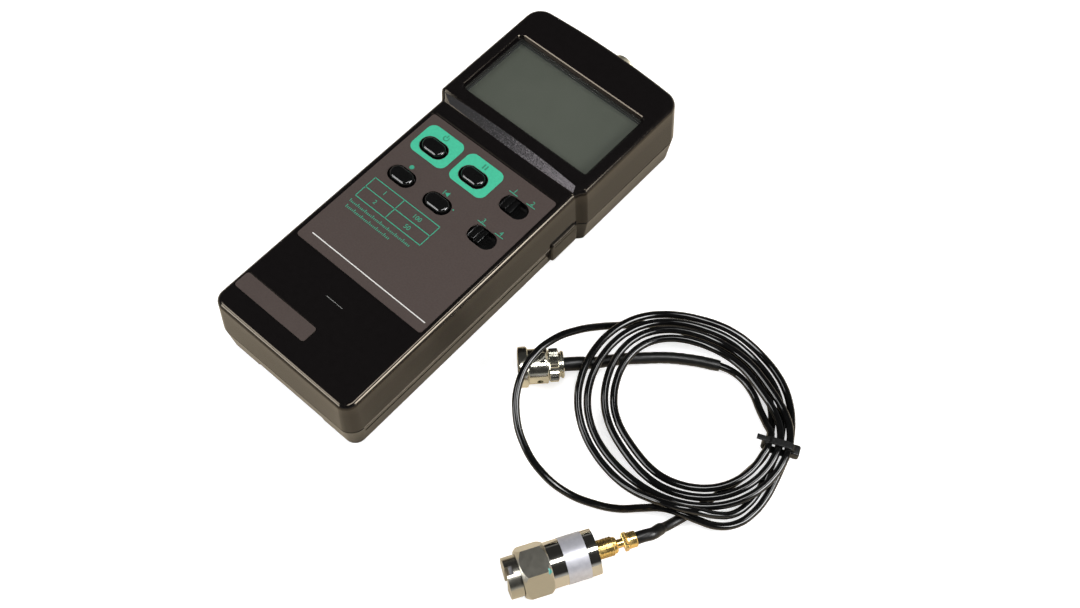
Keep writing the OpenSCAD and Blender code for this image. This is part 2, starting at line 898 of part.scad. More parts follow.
module bnc_socket_body() {
    color(nickel) on_socket(0) {
        translate([0, 0, seat_y]) difference() {
            union() {
                cylinder(h = socket_flange_t, r = socket_flange_r);
                cylinder(h = socket_l + half_l - seat_y, r = socket_r);
                translate([0, 0, socket_l + half_l - seat_y - lug_back]) rotate([0, 90, 0])
                    translate([0, 0, -socket_r - lug_out])
                        cylinder(h = 2 * (socket_r + lug_out), r = lug_r);
            }
            translate([0, 0, socket_flange_t]) cylinder(h = socket_l + 2 * cut, r = socket_bore_r);
            translate([0, 0, -cut]) cylinder(h = socket_l, r = insulator_r + run_clear);
        }
        translate([0, 0, seat_y - wall - front_taper - socket_neck_l])
            tube(socket_neck_r, insulator_r + run_clear, wall + front_taper + socket_neck_l);
    }
}

module bnc_socket_washer() {
    color(nickel) on_socket(inner_end_y - washer_t) tube(washer_r, socket_neck_r + run_clear, washer_t);
}

module bnc_socket_nut() {
    color(nickel) on_socket(inner_end_y - washer_t - socket_nut_t) difference() {
        cylinder(h = socket_nut_t, r = socket_nut_r, $fn = 6);
        translate([0, 0, -cut]) cylinder(h = socket_nut_t + 2 * cut, r = socket_neck_r + run_clear);
    }
}

socket_back_y = seat_y - wall - front_taper - socket_neck_l;

module bnc_socket_insulator() {
    color([0.9, 0.9, 0.88]) on_socket(socket_back_y)
        tube(insulator_r, contact_r + run_clear, half_l + socket_l - lug_r - socket_back_y);
}

module bnc_socket_contact() {
    color(gold) on_socket(socket_back_y - contact_tail) difference() {
        cylinder(h = half_l + socket_l - 2 * lug_r - socket_back_y + contact_tail, r = contact_r);
        translate([0, 0, half_l + socket_l - socket_back_y + contact_tail - 3 * lug_r - socket_bore_r])
            cylinder(h = socket_bore_r + lug_r + cut, r = contact_bore_r);
    }
}

wire_y = socket_back_y - contact_tail;
wire_route = [
    [0, wire_y, socket_h],
    [0, wire_y - 2 * lead_r, socket_h],
    [0, wire_y - 4 * lead_r, (socket_h + board_low) / 2],
    [0, board_high_y - 3 * lead_r, board_low - lead_r]
];

module input_wire() {
    color([0.9, 0.9, 0.88]) sweep(wire_route, [for (p = wire_route) lead_r], tube_sides);
}

// Jack and its cover

module output_jack() {
    color(silver) difference() {
        union() {
            on_jack(body_hw - rear_inset - run_clear - jack_body_l)
                rotate([0, 0, 90]) box(jack_body, jack_body, jack_body_l);
            on_jack(body_hw - rear_inset - cut)
                cylinder(h = pad_x - body_hw + rear_inset + cut, r = jack_nose_r);
        }
        on_jack(pad_x - jack_bore_l) cylinder(h = jack_bore_l + cut, r = jack_bore_r);
    }
}

cover_axis_x = pad_x + cover_r + clear / 2;

module jack_cover() {
    color(rubber) {
        translate([cover_axis_x, jack_y - cover_w / 2, cover_axis_h]) rotate([-90, 0, 0])
            cylinder(h = cover_w, r = cover_r);
        translate([pad_x + clear / 2, jack_y - cover_w / 2, cover_axis_h])
            cube([cover_t, cover_w, cover_top_h - cover_axis_h]);
    }
}

// Battery

module battery() {
    color([0.2, 0.2, 0.22]) {
        translate([0, battery_low_y + battery_l, battery_z]) rotate([90, 0, 0])
            translate([0, battery_h / 2, 0]) round_plate(battery_w, battery_h, battery_corner, battery_l);
        for (s = [-1, 1])
            translate([
                s * stud_pitch / 2, battery_low_y + battery_l - stud_h / 2, battery_z + battery_h / 2
            ])
                rotate([-90, 0, 0]) cylinder(h = 1.5 * stud_h, r = stud_r);
    }
}

module battery_snap() {
    color(rubber) translate([0, snap_back_y, battery_z])
        difference() {
            rotate([90, 0, 0]) translate([0, battery_h / 2, 0])
                round_plate(
                    battery_w - 2 * snap_inset,
                    battery_h - 2 * snap_inset,
                    battery_corner,
                    snap_t + stud_h / 2
                );
            for (s = [-1, 1])
                translate([s * stud_pitch / 2, -snap_t - stud_h, battery_h / 2])
                    rotate([-90, 0, 0]) cylinder(h = stud_h, r = stud_r + clear);
        }
}

leads_h = battery_z + battery_h / 2;

module battery_leads() {
    color([0.6, 0.1, 0.1]) for (s = [-1, 1]) {
        route = [
            [s * stud_pitch / 2, snap_back_y, leads_h],
            [s * stud_pitch / 2, snap_back_y + 2 * lead_r, leads_h],
            [s * stud_pitch / 2, snap_back_y + 4 * lead_r, (leads_h + board_low) / 2],
            [s * stud_pitch / 2, snap_back_y + 5 * lead_r, board_low - 2 * lead_r],
            [s * stud_pitch / 2, snap_back_y + 5 * lead_r + lead_r / 2, board_low - clear]
        ];
        sweep(route, [for (p = route) lead_r], tube_sides);
    }
}

// Sensor. Local +Z runs from the magnet's face to the cable.

module on_sensor() {
    translate([sensor_x, sensor_y, sensor_h]) rotate([0, 0, sensor_turn]) rotate([0, 90, 0]) children();
}

module sensor_body() {
    color(nickel) on_sensor() difference() {
        union() {
            translate([0, 0, hex_low]) intersection() {
                rotate([0, 0, 30]) cylinder(h = hex_l, r = hex_r, $fn = 6);
                rotate_extrude() polygon([
                    [0, 0], [hex_face_r, 0], [hex_r, hex_chamfer],
                    [hex_r, hex_l - hex_chamfer], [hex_face_r, hex_l], [0, hex_l]
                ]);
            }
            translate([0, 0, hex_top - cut]) cylinder(h = sensor_l + cut, r = sensor_r);
        }
        translate([0, 0, hex_low - cut]) cylinder(h = stud_shaft_l + cut, r = stud_shaft_r + run_clear);
        translate([0, 0, cavity_low]) cylinder(h = sensor_top - sensor_cap_t - cavity_low, r = cavity_r);
        translate([0, 0, sensor_top - sensor_cap_t - cut])
            cylinder(h = sensor_cap_t + 2 * cut, r = preload_r);
    }
}

module sensor_band() {
    color([0.9, 0.9, 0.92]) on_sensor() translate([0, 0, hex_top + band_start])
        tube(sensor_r + band_gap + band_t, sensor_r + band_gap, band_w);
}

module piezo_ring() {
    color([0.8, 0.75, 0.6]) on_sensor() translate([0, 0, cavity_low]) tube(piezo_r, piezo_hole_r, piezo_t);
}

module seismic_mass() {
    color(silver) on_sensor() translate([0, 0, cavity_low + piezo_t]) tube(mass_r, piezo_hole_r, mass_l);
}

module preload_screw() {
    color(silver) on_sensor() {
        translate([0, 0, cavity_low]) cylinder(h = piezo_t + mass_l + preload_head_t / 2, r = preload_r);
        translate([0, 0, cavity_low + piezo_t + mass_l]) cylinder(h = preload_head_t, r = preload_head_r);
    }
}

module magnet_base() {
    color(nickel) on_sensor() difference() {
        cylinder(h = magnet_l - pole_gap, r = magnet_d / 2);
        translate([-magnet_d, -magnet_slot_w / 2, -cut])
            cube([2 * magnet_d, magnet_slot_w, magnet_slot_d + cut]);
        translate([0, 0, magnet_slot_d]) cylinder(h = magnet_l, r = stud_shaft_r);
    }
}

module magnet_core() {
    color([0.35, 0.35, 0.36]) on_sensor() translate([0, 0, magnet_slot_d - magnet_core_t])
        box(magnet_d * 0.8, magnet_slot_w, magnet_core_t);
}

module mounting_stud() {
    color(silver) on_sensor() translate([0, 0, magnet_slot_d])
        cylinder(h = magnet_l - magnet_slot_d + stud_shaft_l - clear, r = stud_shaft_r);
}

module sensor_socket() {
    color(gold) on_sensor() translate([0, 0, sensor_top - sensor_cap_t]) {
        cylinder(h = sensor_cap_t + cut, r = preload_r);
        translate([0, 0, sensor_cap_t]) cylinder(h = thread_l, r = thread_r);
    }
}

module knurled_nut() {
    color(gold) on_sensor() translate([0, 0, nut_low]) difference() {
        rotate_extrude() polygon([
            [0, 0], [nut_r - nut_gap * 2, 0], [nut_r, nut_gap * 2],
            [nut_r, nut_l - nut_gap * 2], [nut_r - nut_gap * 2, nut_l], [0, nut_l]
        ]);
        translate([0, 0, -cut]) cylinder(h = nut_l - nut_lip + cut, r = thread_r + run_clear);
        cylinder(h = nut_l + cut, r = neck_r + run_clear);
    }
}

module lead_ferrule() {
    color(gold) on_sensor() {
        translate([0, 0, nut_top - nut_lip - run_clear - ferrule_head_l])
            cylinder(h = ferrule_head_l, r = ferrule_head_r);
        translate([0, 0, nut_top - nut_lip - ferrule_head_l])
            cylinder(h = nut_lip + ferrule_head_l + neck_l + cut, r = neck_r);
        translate([0, 0, collar_low]) cylinder(h = collar_l, r = collar_r);
        translate([0, 0, collar_low + collar_l / 2])
            cylinder(h = collar_l / 2 + collar_tail_l, r = collar_tail_r);
    }
}

// Plug. Local +Z runs from its mouth to the cable.

module on_plug() {
    translate([plug_x, plug_y, ring_r]) rotate([0, 0, plug_turn]) rotate([0, 90, 0]) children();
}

module plug_ring() {
    color(nickel) on_plug() difference() {
        union() {
            cylinder(h = ring_flange_l, r = ring_r);
            cylinder(h = ring_l, r = ring_body_r);
            translate([0, 0, ring_l - ear_l]) for (a = [0, 180]) rotate([0, 0, a]) intersection() {
                cylinder(h = ear_l, r = ear_r);
                translate([0, -ear_w / 2, 0]) cube([ring_r, ear_w, ear_l]);
            }
        }
        translate([0, 0, -cut]) cylinder(h = ring_l + 2 * cut, r = ring_bore_r);
        for (a = [90, 270]) rotate([0, 0, a]) translate([0, 0, cam_hole_at]) rotate([0, 90, 0])
            cylinder(h = 2 * ring_r, r = cam_slot_w / 2);
    }
}

module plug_barrel() {
    color(nickel) on_plug() {
        translate([0, 0, barrel_low]) tube(barrel_r, barrel_bore_r, clamp_low - barrel_low);
        translate([0, 0, barrel_back_low])
            tube(barrel_back_r, barrel_bore_r, clamp_low - barrel_back_low);
    }
}

module plug_insulator() {
    color([0.92, 0.92, 0.9]) on_plug() translate([0, 0, plug_insulator_low])
        tube(barrel_bore_r - run_clear, pin_r + run_clear, clamp_low - plug_insulator_low);
}

module plug_pin() {
    color(gold) on_plug() translate([0, 0, pin_low]) cylinder(h = clamp_low - pin_low, r = pin_r);
}

module plug_clamp() {
    color(nickel) on_plug() {
        translate([0, 0, clamp_low]) cylinder(h = plug_l - clamp_end_l - clamp_low, r = clamp_r);
        translate([0, 0, clamp_low]) cylinder(h = plug_l - clamp_low, r = clamp_end_r);
    }
}

// Cable

function unit(v) = v / norm(v);

// Smooth value between the listed ones, which repeat after the last
function around(list, s) =
    let (n = len(list), x = s * n, i = floor(x), f = x - i,
         p = [for (k = [-1 : 2]) list[(i + k + n) % n]])
    (2 * p[1] + (p[2] - p[0]) * f + (2 * p[0] - 5 * p[1] + 4 * p[2] - p[3]) * f * f
        + (3 * p[1] - p[0] - 3 * p[2] + p[3]) * f * f * f) / 2;

function bump(s, at, half) = pow(cos(90 * min(1, abs(s - at) / half)), 2);

// How far the change that the shares describe has come at share s of a turn
function change(s, shares) = ease((s - shares[0]) / shares[1]);

// Lane of the cable in loop j at share s of its turn
function lane(j, s) = tie_lanes[j] + (loop_lanes[j] - tie_lanes[j]) * change(s, lane_out_shares)
    + (last_lanes[j] - loop_lanes[j]) * change(s, lane_back_shares)
    + (tie_lanes[j + 1] - last_lanes[j]) * change(s, lane_home_shares);

function layer(j, s) = tie_layers[j] + (loop_layers[j] - tie_layers[j]) * change(s, layer_up_shares)
    + (tie_layers[j + 1] - loop_layers[j]) * change(s, layer_down_shares);

function coil_point(t) =
    let (j = min(floor(t), loops - 1), s = t - j, a = coil_turn - 360 * s,
         r = around(inner_radii, s) + lane_step * lane(j, s)
            + bow_out[j] * bump(s, bow_at_share, bow_half_share)
            - tuck_in[j] * bump(s, tuck_at_share, tuck_half_share),
         h = low_h + layer_step * layer(j, s)
            + sleeve_rise[j] * bump(s, sleeve_at_shares[j], sleeve_half_shares[j])
            + cross_rise[j] * bump(s, cross_at_shares[j], cross_half_shares[j])
            + tie_lift * bump(min(s, 1 - s), 0, tie_lift_share))
    [coil_x + r * cos(a), coil_y + r * sin(a), h];

// Direction of the strands in the tie, and both straight ends of the coil there
tie_dir = [sin(coil_turn), -cos(coil_turn), 0];
coil_start = coil_point(0);
coil_end = coil_point(loops);
coil_path = concat(
    [coil_start, coil_start + straight_l * tie_dir],
    [for (k = [1 : loops * loop_rings - 1]) coil_point(k / loop_rings)],
    [coil_end - straight_l * tie_dir, coil_end]
);

// Distance from point p to the stretch from a to b
function to_stretch(p, a, b) =
    let (d = b - a, f = min(1, max(0, (p - a) * d / (d * d)))) norm(p - a - f * d);

least_gap = min([for (i = [0 : len(coil_path) - 1], k = [0 : len(coil_path) - 2])
    if (abs(i - k) > loop_rings / 3) to_stretch(coil_path[i], coil_path[k], coil_path[k + 1])]) - cable_d;
echo(least_gap = least_gap);

function along(path, k) = let (n = len(path) - 1)
    k == 0 ? unit(path[1] - path[0]) : k == n ? unit(path[n] - path[n - 1])
        : unit(unit(path[k + 1] - path[k]) + unit(path[k] - path[k - 1]));

// Closed tube of the given radii along a path that never points straight up
module sweep(path, radii, sides) {
    last = len(path) - 1;
    points = [for (k = [0 : last])
        let (t = along(path, k), side = unit(cross([0, 0, 1], t)), up = cross(t, side))
        for (m = [0 : sides - 1])
            path[k] + radii[k] * (side * cos(360 * m / sides) + up * sin(360 * m / sides))];
    skin = [for (k = [0 : last - 1], m = [0 : sides - 1])
        let (a = k * sides + m, b = k * sides + (m + 1) % sides)
        each [[a, a + sides, b + sides], [a, b + sides, b]]];
    low = [for (m = [1 : sides - 2]) [0, m, m + 1]];
    high = [for (f = low) [f[2] + last * sides, f[1] + last * sides, f[0] + last * sides]];
    polyhedron(points, concat(skin, low, high));
}

module cable_coil() {
    color(rubber) sweep(coil_path, [for (p = coil_path) cable_r], coil_sides);
}

plug_dir = [cos(plug_turn), sin(plug_turn), 0];
plug_back = [plug_x, plug_y, ring_r] + plug_l * plug_dir;
sleeve_path = concat(
    [plug_back, plug_back + straight_l * plug_dir],
    [for (p = plug_route) if (norm(p - plug_back) > 1.5 * straight_l) p]
);

module plug_sleeve() {
    color(rubber) sweep(
        sleeve_path,
        [for (p = sleeve_path) norm(p - plug_back) < sleeve_root_l ? sleeve_root_d / 2 : sleeve_d / 2],
        tube_sides
    );
}

// Place just past a sleeve's tip a, on the way to b
function past(a, b) = a + tip_gap * unit(b - a);

plug_end_path = concat(
    [past(plug_end_route[0], plug_end_route[1])],
    [for (k = [1 : len(plug_end_route) - 1]) plug_end_route[k]],
    [coil_start - straight_l * tie_dir, coil_start]
);

module cable_plug_end() {
    color(rubber) sweep(plug_end_path, [for (p = plug_end_path) cable_r], tube_sides);
}

sensor_end_last = len(sensor_end_route) - 1;
sensor_end_path = concat(
    [coil_end, coil_end + straight_l * tie_dir],
    [for (k = [0 : sensor_end_last - 1]) sensor_end_route[k]],
    [past(sensor_end_route[sensor_end_last], sensor_end_route[sensor_end_last - 1])]
);

module cable_sensor_end() {
    color(rubber) sweep(sensor_end_path, [for (p = sensor_end_path) cable_r], tube_sides);
}

sensor_dir = [cos(sensor_turn), sin(sensor_turn), 0];
ferrule_end = [sensor_x, sensor_y, sensor_h] + ferrule_top * sensor_dir;
sensor_sleeve_path = concat(
    sensor_route,
    [ferrule_end + (sleeve_d + straight_l / 2) * sensor_dir + [0, 0, -straight_l / 6],
        ferrule_end + straight_l * sensor_dir, ferrule_end]
);

module sensor_sleeve() {
    color(rubber) sweep(
        sensor_sleeve_path,
        [for (p = sensor_sleeve_path)
            norm(p - ferrule_end) > 2 * sleeve_root_l ? sleeve_thin_d / 2 : sleeve_d / 2],
        tube_sides
    );
}

// Tie round the bundle, whose strands lie three wide and two high
bundle_w = (max(tie_lanes) - min(tie_lanes)) * lane_step + cable_d + 2 * tie_clear;
bundle_h = layer_step + cable_d + 2 * tie_clear;
tie_mid_r = inner_radii[0] + lane_step * (max(tie_lanes) + min(tie_lanes)) / 2;
tie_mid_h = low_h + tie_lift + layer_step / 2;

module cable_tie() {
    color(rubber) translate([coil_x, coil_y, 0]) rotate([0, 0, coil_turn])
        translate([tie_mid_r, tie_w / 2, tie_mid_h]) rotate([90, 0, 0]) {
            difference() {
                round_plate(bundle_w + 2 * tie_t, bundle_h + 2 * tie_t, tie_corner + tie_t, tie_w);
                translate([0, 0, -cut]) round_plate(bundle_w, bundle_h, tie_corner, tie_w + 2 * cut);
            }
            translate([bundle_w / 2 + tie_t / 2, 0, (tie_w - tie_head_w) / 2])
                translate([0, -tie_head / 2, 0]) cube([tie_head, tie_head, tie_head_w]);
            translate([bundle_w / 2, bundle_h / 2 + tie_t / 2, tie_w / 2]) rotate([0, -90, 0])
                translate([0, 0, bundle_w]) cylinder(h = tail_l, r = tail_r - tie_clear);
        }
}

front_shell();
rear_shell();
battery_door();
trim_band();
display_window();
lcd_glass();
lcd_frame();
zebra_strips();
control_label();
name_plate();
power_button();
hold_button();
record_button();
recall_button();
button_switches();
detector_knob();
function_knob();
slide_switches();
main_board();
processor_chip();
board_parts();
board_screws();
case_screws();
bnc_socket_body();
bnc_socket_washer();
bnc_socket_nut();
bnc_socket_insulator();
bnc_socket_contact();
input_wire();
output_jack();
jack_cover();
battery();
battery_snap();
battery_leads();
sensor_body();
sensor_band();
piezo_ring();
seismic_mass();
preload_screw();
magnet_base();
magnet_core();
mounting_stud();
sensor_socket();
knurled_nut();
lead_ferrule();
sensor_sleeve();
cable_sensor_end();
cable_coil();
cable_plug_end();
plug_sleeve();
cable_tie();
plug_ring();
plug_barrel();
plug_insulator();
plug_pin();
plug_clamp();
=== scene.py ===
import json
from itertools import accumulate
from math import atan2, cos, pi, radians, sin

import bpy
from mathutils import Matrix, Vector
from mathutils.geometry import interpolate_bezier


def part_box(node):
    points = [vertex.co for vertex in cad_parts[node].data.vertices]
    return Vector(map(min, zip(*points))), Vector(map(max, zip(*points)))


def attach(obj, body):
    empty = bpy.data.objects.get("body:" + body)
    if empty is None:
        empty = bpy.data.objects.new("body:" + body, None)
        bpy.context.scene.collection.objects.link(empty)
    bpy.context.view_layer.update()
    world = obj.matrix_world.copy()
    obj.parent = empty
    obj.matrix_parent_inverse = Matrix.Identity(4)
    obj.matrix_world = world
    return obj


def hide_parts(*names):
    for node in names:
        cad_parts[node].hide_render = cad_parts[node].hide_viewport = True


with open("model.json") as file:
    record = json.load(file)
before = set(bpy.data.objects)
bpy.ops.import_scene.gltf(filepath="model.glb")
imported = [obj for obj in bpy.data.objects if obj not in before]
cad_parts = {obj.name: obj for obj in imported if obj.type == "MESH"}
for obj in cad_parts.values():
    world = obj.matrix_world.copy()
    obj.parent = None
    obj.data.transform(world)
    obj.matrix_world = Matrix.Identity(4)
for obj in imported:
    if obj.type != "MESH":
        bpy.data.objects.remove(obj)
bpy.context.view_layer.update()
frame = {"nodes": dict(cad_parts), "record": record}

# Handheld vibration meter: its case and keys, the sensor on its magnetic base,
# and the tied cable with its bayonet plug. Sizes are in millimetres, and the
# origin is the centre of the case's back with +Z up and +Y to the socket end.

MM = 0.001

# Case
front_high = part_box("front_shell")[1] / MM
half_l = 87.5
head_hw = front_high.x
head_h = front_high.z
split_h = 12.7
body_hw = 33.75
face_h = 30.0
wall = 2.2
edge_r = 2.0
rear_edge_r = 1.2
front_taper = 0.9
rear_taper = 1.7
body_corner_r = 6.0
head_corner_r = 8.0
end_bow = 1.2
slope_foot_y = 27.3
slope_l = 4.0
step_l = 4.0
shell_gap = 0.2
shell_step = 0.1
joint_bevel = 0.3
head_arc = 80
front_edge, rear_edge = 0.18, 0.15
socket_h = 13.6
socket_seat_r, socket_seat_d = 7.0, 0.6
screw_head_r, screw_seat_d = 2.8, 3.4
screw_places = [(-26.5, -78), (26.5, -78), (-28, 76.8), (28, 76.8)]
door_w, door_l, door_y = 32.9, 52.0, -60.4
grip_l, grip_y, grip_low, grip_high, grip_d = 93.0, -34.5, 8.6, 9.8, 1.1

# Display
window_y = 52.75
window_w = 59.0
window_l = 31.7
window_r, window_play = 0.8, 0.4
pane_top = 30.6
bevel_w, rim_w = 1.3, 0.32

# Label, name plate and keys
label_y = -14.0
label_w = 60.2
label_l = 70.0
label_top = 30.05
label_play, label_corner = 1.6, 1.6
plate_x, plate_y = -14.0, -74.1
plate_w, plate_l = 34.0, 6.6
plate_play, plate_corner = 0.6, 1.2
seat_d = 0.25
print_t = 0.03
key_places = {
    "power": (-19.4, 9.6), "hold": (0.0, 9.6), "record": (-19.4, -7.1), "recall": (-1.9, -7.1)
}
slide_places = {"detector": (19.7, 9.6), "function": (19.7, -7.1)}
hole_l, hole_w = 11.7, 7.4

# Cover over the output jack
cover_low_x, cover_top_x = 32.5, 34.6
cover_y, cover_l = 20.5, 14.0
cover_low_z, cover_high_z = 4.0, 14.5
cover_round, cover_corner = 0.7, 1.4
cover_play = 0.4
pocket_w, pocket_x = 4.0, 34.4

# Cable
cable_d = 2.7


# Mesh tools

def only(obj):
    bpy.ops.object.select_all(action="DESELECT")
    obj.select_set(True)
    bpy.context.view_layer.objects.active = obj


def edit(obj):
    """Starts edit mode with the whole mesh selected."""
    only(obj)
    bpy.ops.object.mode_set(mode="EDIT")
    bpy.ops.mesh.select_all(action="SELECT")


def arc(cx, cy, r, start, end, steps):
    angles = [radians(start + (end - start) * k / steps) for k in range(steps + 1)]
    return [(cx + r * cos(a), cy + r * sin(a)) for a in angles]


def rounded(w, l, r, cx=0.0, cy=0.0, steps=6):
    """Outline of a rectangle with rounded corners, anticlockwise from its lower right corner."""
    x, y = w / 2 - r, l / 2 - r
    return (
        arc(cx + x, cy - y, r, -90, 0, steps) + arc(cx + x, cy + y, r, 0, 90, steps)
        + arc(cx - x, cy + y, r, 90, 180, steps) + arc(cx - x, cy - y, r, 180, 270, steps)
    )


def stadium(l, w, cx=0.0, cy=0.0, steps=14):
    x = (l - w) / 2
    return arc(cx + x, cy, w / 2, -90, 90, steps) + arc(cx - x, cy, w / 2, 90, 270, steps)


def circle(r, steps=48):
    return arc(0, 0, r, 0, 360 - 360 / steps, steps - 1)


def moved(outline, x, y):
    return [(x + u, y + v) for u, v in outline]


def at(outline, z):
    return [(x, y, z) for x, y in outline]


def loft(name, rings):
    """Closed solid through rings of equally many points in millimetres."""
    count = len(rings[0])
    bpy.ops.mesh.primitive_circle_add(vertices=count, radius=1, fill_type="NGON")
    obj = bpy.context.object
    obj.name = name
    edit(obj)
    for _ in rings[1:]:
        bpy.ops.mesh.extrude_region_move(TRANSFORM_OT_translate={"value": (0, 0, 1)})
    bpy.ops.object.mode_set(mode="OBJECT")
    for v in obj.data.vertices:
        ring = rings[round(v.co.z)]
        v.co = Vector(ring[round(atan2(v.co.y, v.co.x) / (2 * pi) * count) % count]) * MM
    return outward(obj)


def prism(outline, low, high, name="cutter"):
    return loft(name, [at(outline, low), at(outline, high)])


def box_cutter(w, l, low, high, cx=0.0, cy=0.0, r=0.5):
    return prism(rounded(w, l, r, cx, cy, 3), low, high)


def outward(obj):
    """Merges doubled points and turns all faces outwards."""
    edit(obj)
    bpy.ops.mesh.remove_doubles(threshold=0.000001)
    bpy.ops.mesh.normals_make_consistent(inside=False)
    bpy.ops.object.mode_set(mode="OBJECT")
    return obj


def change(obj, kind, **settings):
    """Adds a modifier and applies it."""
    only(obj)
    modifier = obj.modifiers.new(kind.lower(), kind)
    for key, value in settings.items():
        setattr(modifier, key, value)
    bpy.ops.object.modifier_apply(modifier=modifier.name)
    return obj


def join(first, *others):
    only(first)
    for o in others:
        o.select_set(True)
    bpy.ops.object.join()
    return first


def cut(obj, *cutters, operation="DIFFERENCE"):
    """Takes the cutters out of the piece, or adds them to it."""
    for cutter in cutters:
        change(obj, "BOOLEAN", object=cutter, operation=operation, solver="EXACT")
        bpy.data.objects.remove(cutter)
    return obj


def soften(obj, width, segments=2):
    """Rounds the sharp edges and keeps flat faces flat in the light."""
    limit = {"limit_method": "ANGLE", "angle_limit": radians(40)}
    change(obj, "BEVEL", width=width * MM, segments=segments, **limit)
    return smooth(obj)


def smooth(obj, angle=35):
    only(obj)
    bpy.ops.object.shade_smooth_by_angle(angle=radians(angle))
    return change(obj, "WEIGHTED_NORMAL", keep_sharp=True)


def place(obj, origin, turn):
    """Turns the piece and then moves it to its place in millimetres."""
    obj.data.transform(Matrix.Translation(origin * MM) @ turn)
    obj.data.update()
    return obj


def quarter_turn(axis):
    return Matrix.Rotation(radians(90), 4, axis)


def coat(obj, material):
    obj.data.materials.clear()
    obj.data.materials.append(material)


def finish(obj, name, body, slot, *nodes, material=None):
    """Names the piece, sets its body and finish, and hides the nodes that it stands for."""
    obj.name = name
    coat(obj, material or slot_finishes[slot])
    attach(obj, body)
    if nodes:
        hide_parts(*nodes)
    return obj


def linked(name, data):
    """New object in the scene."""
    obj = bpy.data.objects.new(name, data)
    bpy.context.scene.collection.objects.link(obj)
    return obj


# Camera at the photograph's place, solved from the corners of the case

camera_at = (207.7, -190.6, 442.4)
camera_azimuth, camera_elevation, camera_roll = 41.23, 60.30, 0.33
focal_px = 1395.7
photo_w_px = 1080
sensor_w = 36.0


def add_camera():
    az, el, roll = (radians(a) for a in (camera_azimuth, camera_elevation, camera_roll))
    ahead = Vector((-sin(az) * cos(el), cos(az) * cos(el), -sin(el)))
    side = ahead.cross(Vector((0, 0, 1))).normalized()
    up = side.cross(ahead)
    right = side * cos(roll) + up * sin(roll)
    top = up * cos(roll) - side * sin(roll)
    camera = linked("camera", bpy.data.cameras.new("camera"))
    camera.data.sensor_width = sensor_w
    camera.data.lens = sensor_w * focal_px / photo_w_px
    camera.data.clip_start = 0.01
    turn = Matrix((right, top, -ahead)).transposed().to_4x4()
    camera.matrix_world = Matrix.Translation(Vector(camera_at) * MM) @ turn
    bpy.context.scene.camera = camera


# Places of the plug and the sensor on the floor, and the ends of the cable

def level(angle):
    return Vector((cos(angle), sin(angle), 0))


sensor_turn, plug_turn = radians(59.6), radians(46)
plug_at, sensor_at = Vector((55.3, -28.2, 7.25)), Vector((103.8, -87.9, 8))
plug_dir, sensor_dir = level(plug_turn), level(sensor_turn)
plug_l, ferrule_top = 15.4, 44.55
plug_back = plug_at + plug_l * plug_dir
ferrule_end = sensor_at + ferrule_top * sensor_dir
hex_top, hex_blend = 14.4, 0.3


# Materials. Each has its colour, its grain and its wear from nodes.

def shiny(name, color, roughness, metallic=0.0, **sockets):
    """Principled material. Further sockets are named with _ for spaces."""
    material = bpy.data.materials.new(name)
    material.use_nodes = True
    values = {"Base Color": (*color, 1.0), "Roughness": roughness, "Metallic": metallic, **sockets}
    for key, value in values.items():
        drive(material, key.replace("_", " "), value)
    return material


def feed(material, socket, value):
    """Links a socket to another one, or sets its number."""
    if isinstance(value, bpy.types.NodeSocket):
        material.node_tree.links.new(value, socket)
    else:
        socket.default_value = value


def add(material, kind, **inputs):
    node = material.node_tree.nodes.new("ShaderNode" + kind)
    for key, value in inputs.items():
        feed(material, node.inputs[key.replace("_", " ")], value)
    return node


def coordinates(material, turn=(0, 0, 0), stretch=(1, 1, 1)):
    """Object coordinates in millimetres, turned and stretched for a pattern with a direction."""
    points = add(material, "TexCoord").outputs["Object"]
    scale = tuple(s / MM for s in stretch)
    return add(material, "Mapping", Vector=points, Rotation=turn, Scale=scale).outputs[0]


def noise(material, per_mm, detail, turn=(0, 0, 0), stretch=(1, 1, 1)):
    points = coordinates(material, turn, stretch)
    return add(material, "TexNoise", Vector=points, Scale=per_mm, Detail=detail).outputs[0]


def drive(material, socket, value):
    feed(material, material.node_tree.nodes["Principled BSDF"].inputs[socket], value)
    return material


def between(material, value, low, high, start=0.35, end=0.65):
    """Number that runs from low to high as value runs from start to end."""
    node = add(material, "MapRange", Value=value, From_Min=start, From_Max=end, To_Min=low, To_Max=high)
    return node.outputs[0]


def tint(material, value, dark, light, socket="Base Color"):
    """Colour that runs from dark to light as value runs from 0 to 1."""
    node = add(material, "Mix", Factor=value)
    node.data_type = "RGBA"
    first, second = (s for s in node.inputs if s.type == "RGBA")
    first.default_value, second.default_value = (*dark, 1), (*light, 1)
    return drive(material, socket, next(s for s in node.outputs if s.type == "RGBA"))


def grain(material, height, per_mm, depth, turn=(0, 0, 0), stretch=(1, 1, 1)):
    """Bump of a noise, depth in millimetres."""
    bumps = noise(material, per_mm, 2.0, turn, stretch)
    node = add(material, "Bump", Height=bumps, Strength=height, Distance=depth * MM)
    return drive(material, "Normal", node.outputs[0])


def mottle(material, dark, light, per_mm):
    return tint(material, between(material, noise(material, per_mm, 3.0), 0.0, 1.0), dark, light)


def wear(material, low, high, per_mm):
    return drive(material, "Roughness", between(material, noise(material, per_mm, 4.0), low, high))


def spread_of(color, spread):
    """The colour darkened and lightened by the factor spread."""
    return tuple(c / spread for c in color), tuple(c * spread for c in color)


def plastic(name, color, roughness, spread=1.25, per_mm=0.4, depth=0.01, **sockets):
    """Moulded plastic: faint mottling, a fine grain and a little unevenness of gloss."""
    material = shiny(name, color, roughness, **sockets)
    mottle(material, *spread_of(color, spread), per_mm)
    wear(material, roughness * 0.93, roughness * 1.07, per_mm / 4)
    return grain(material, 0.3, 6.0, depth)


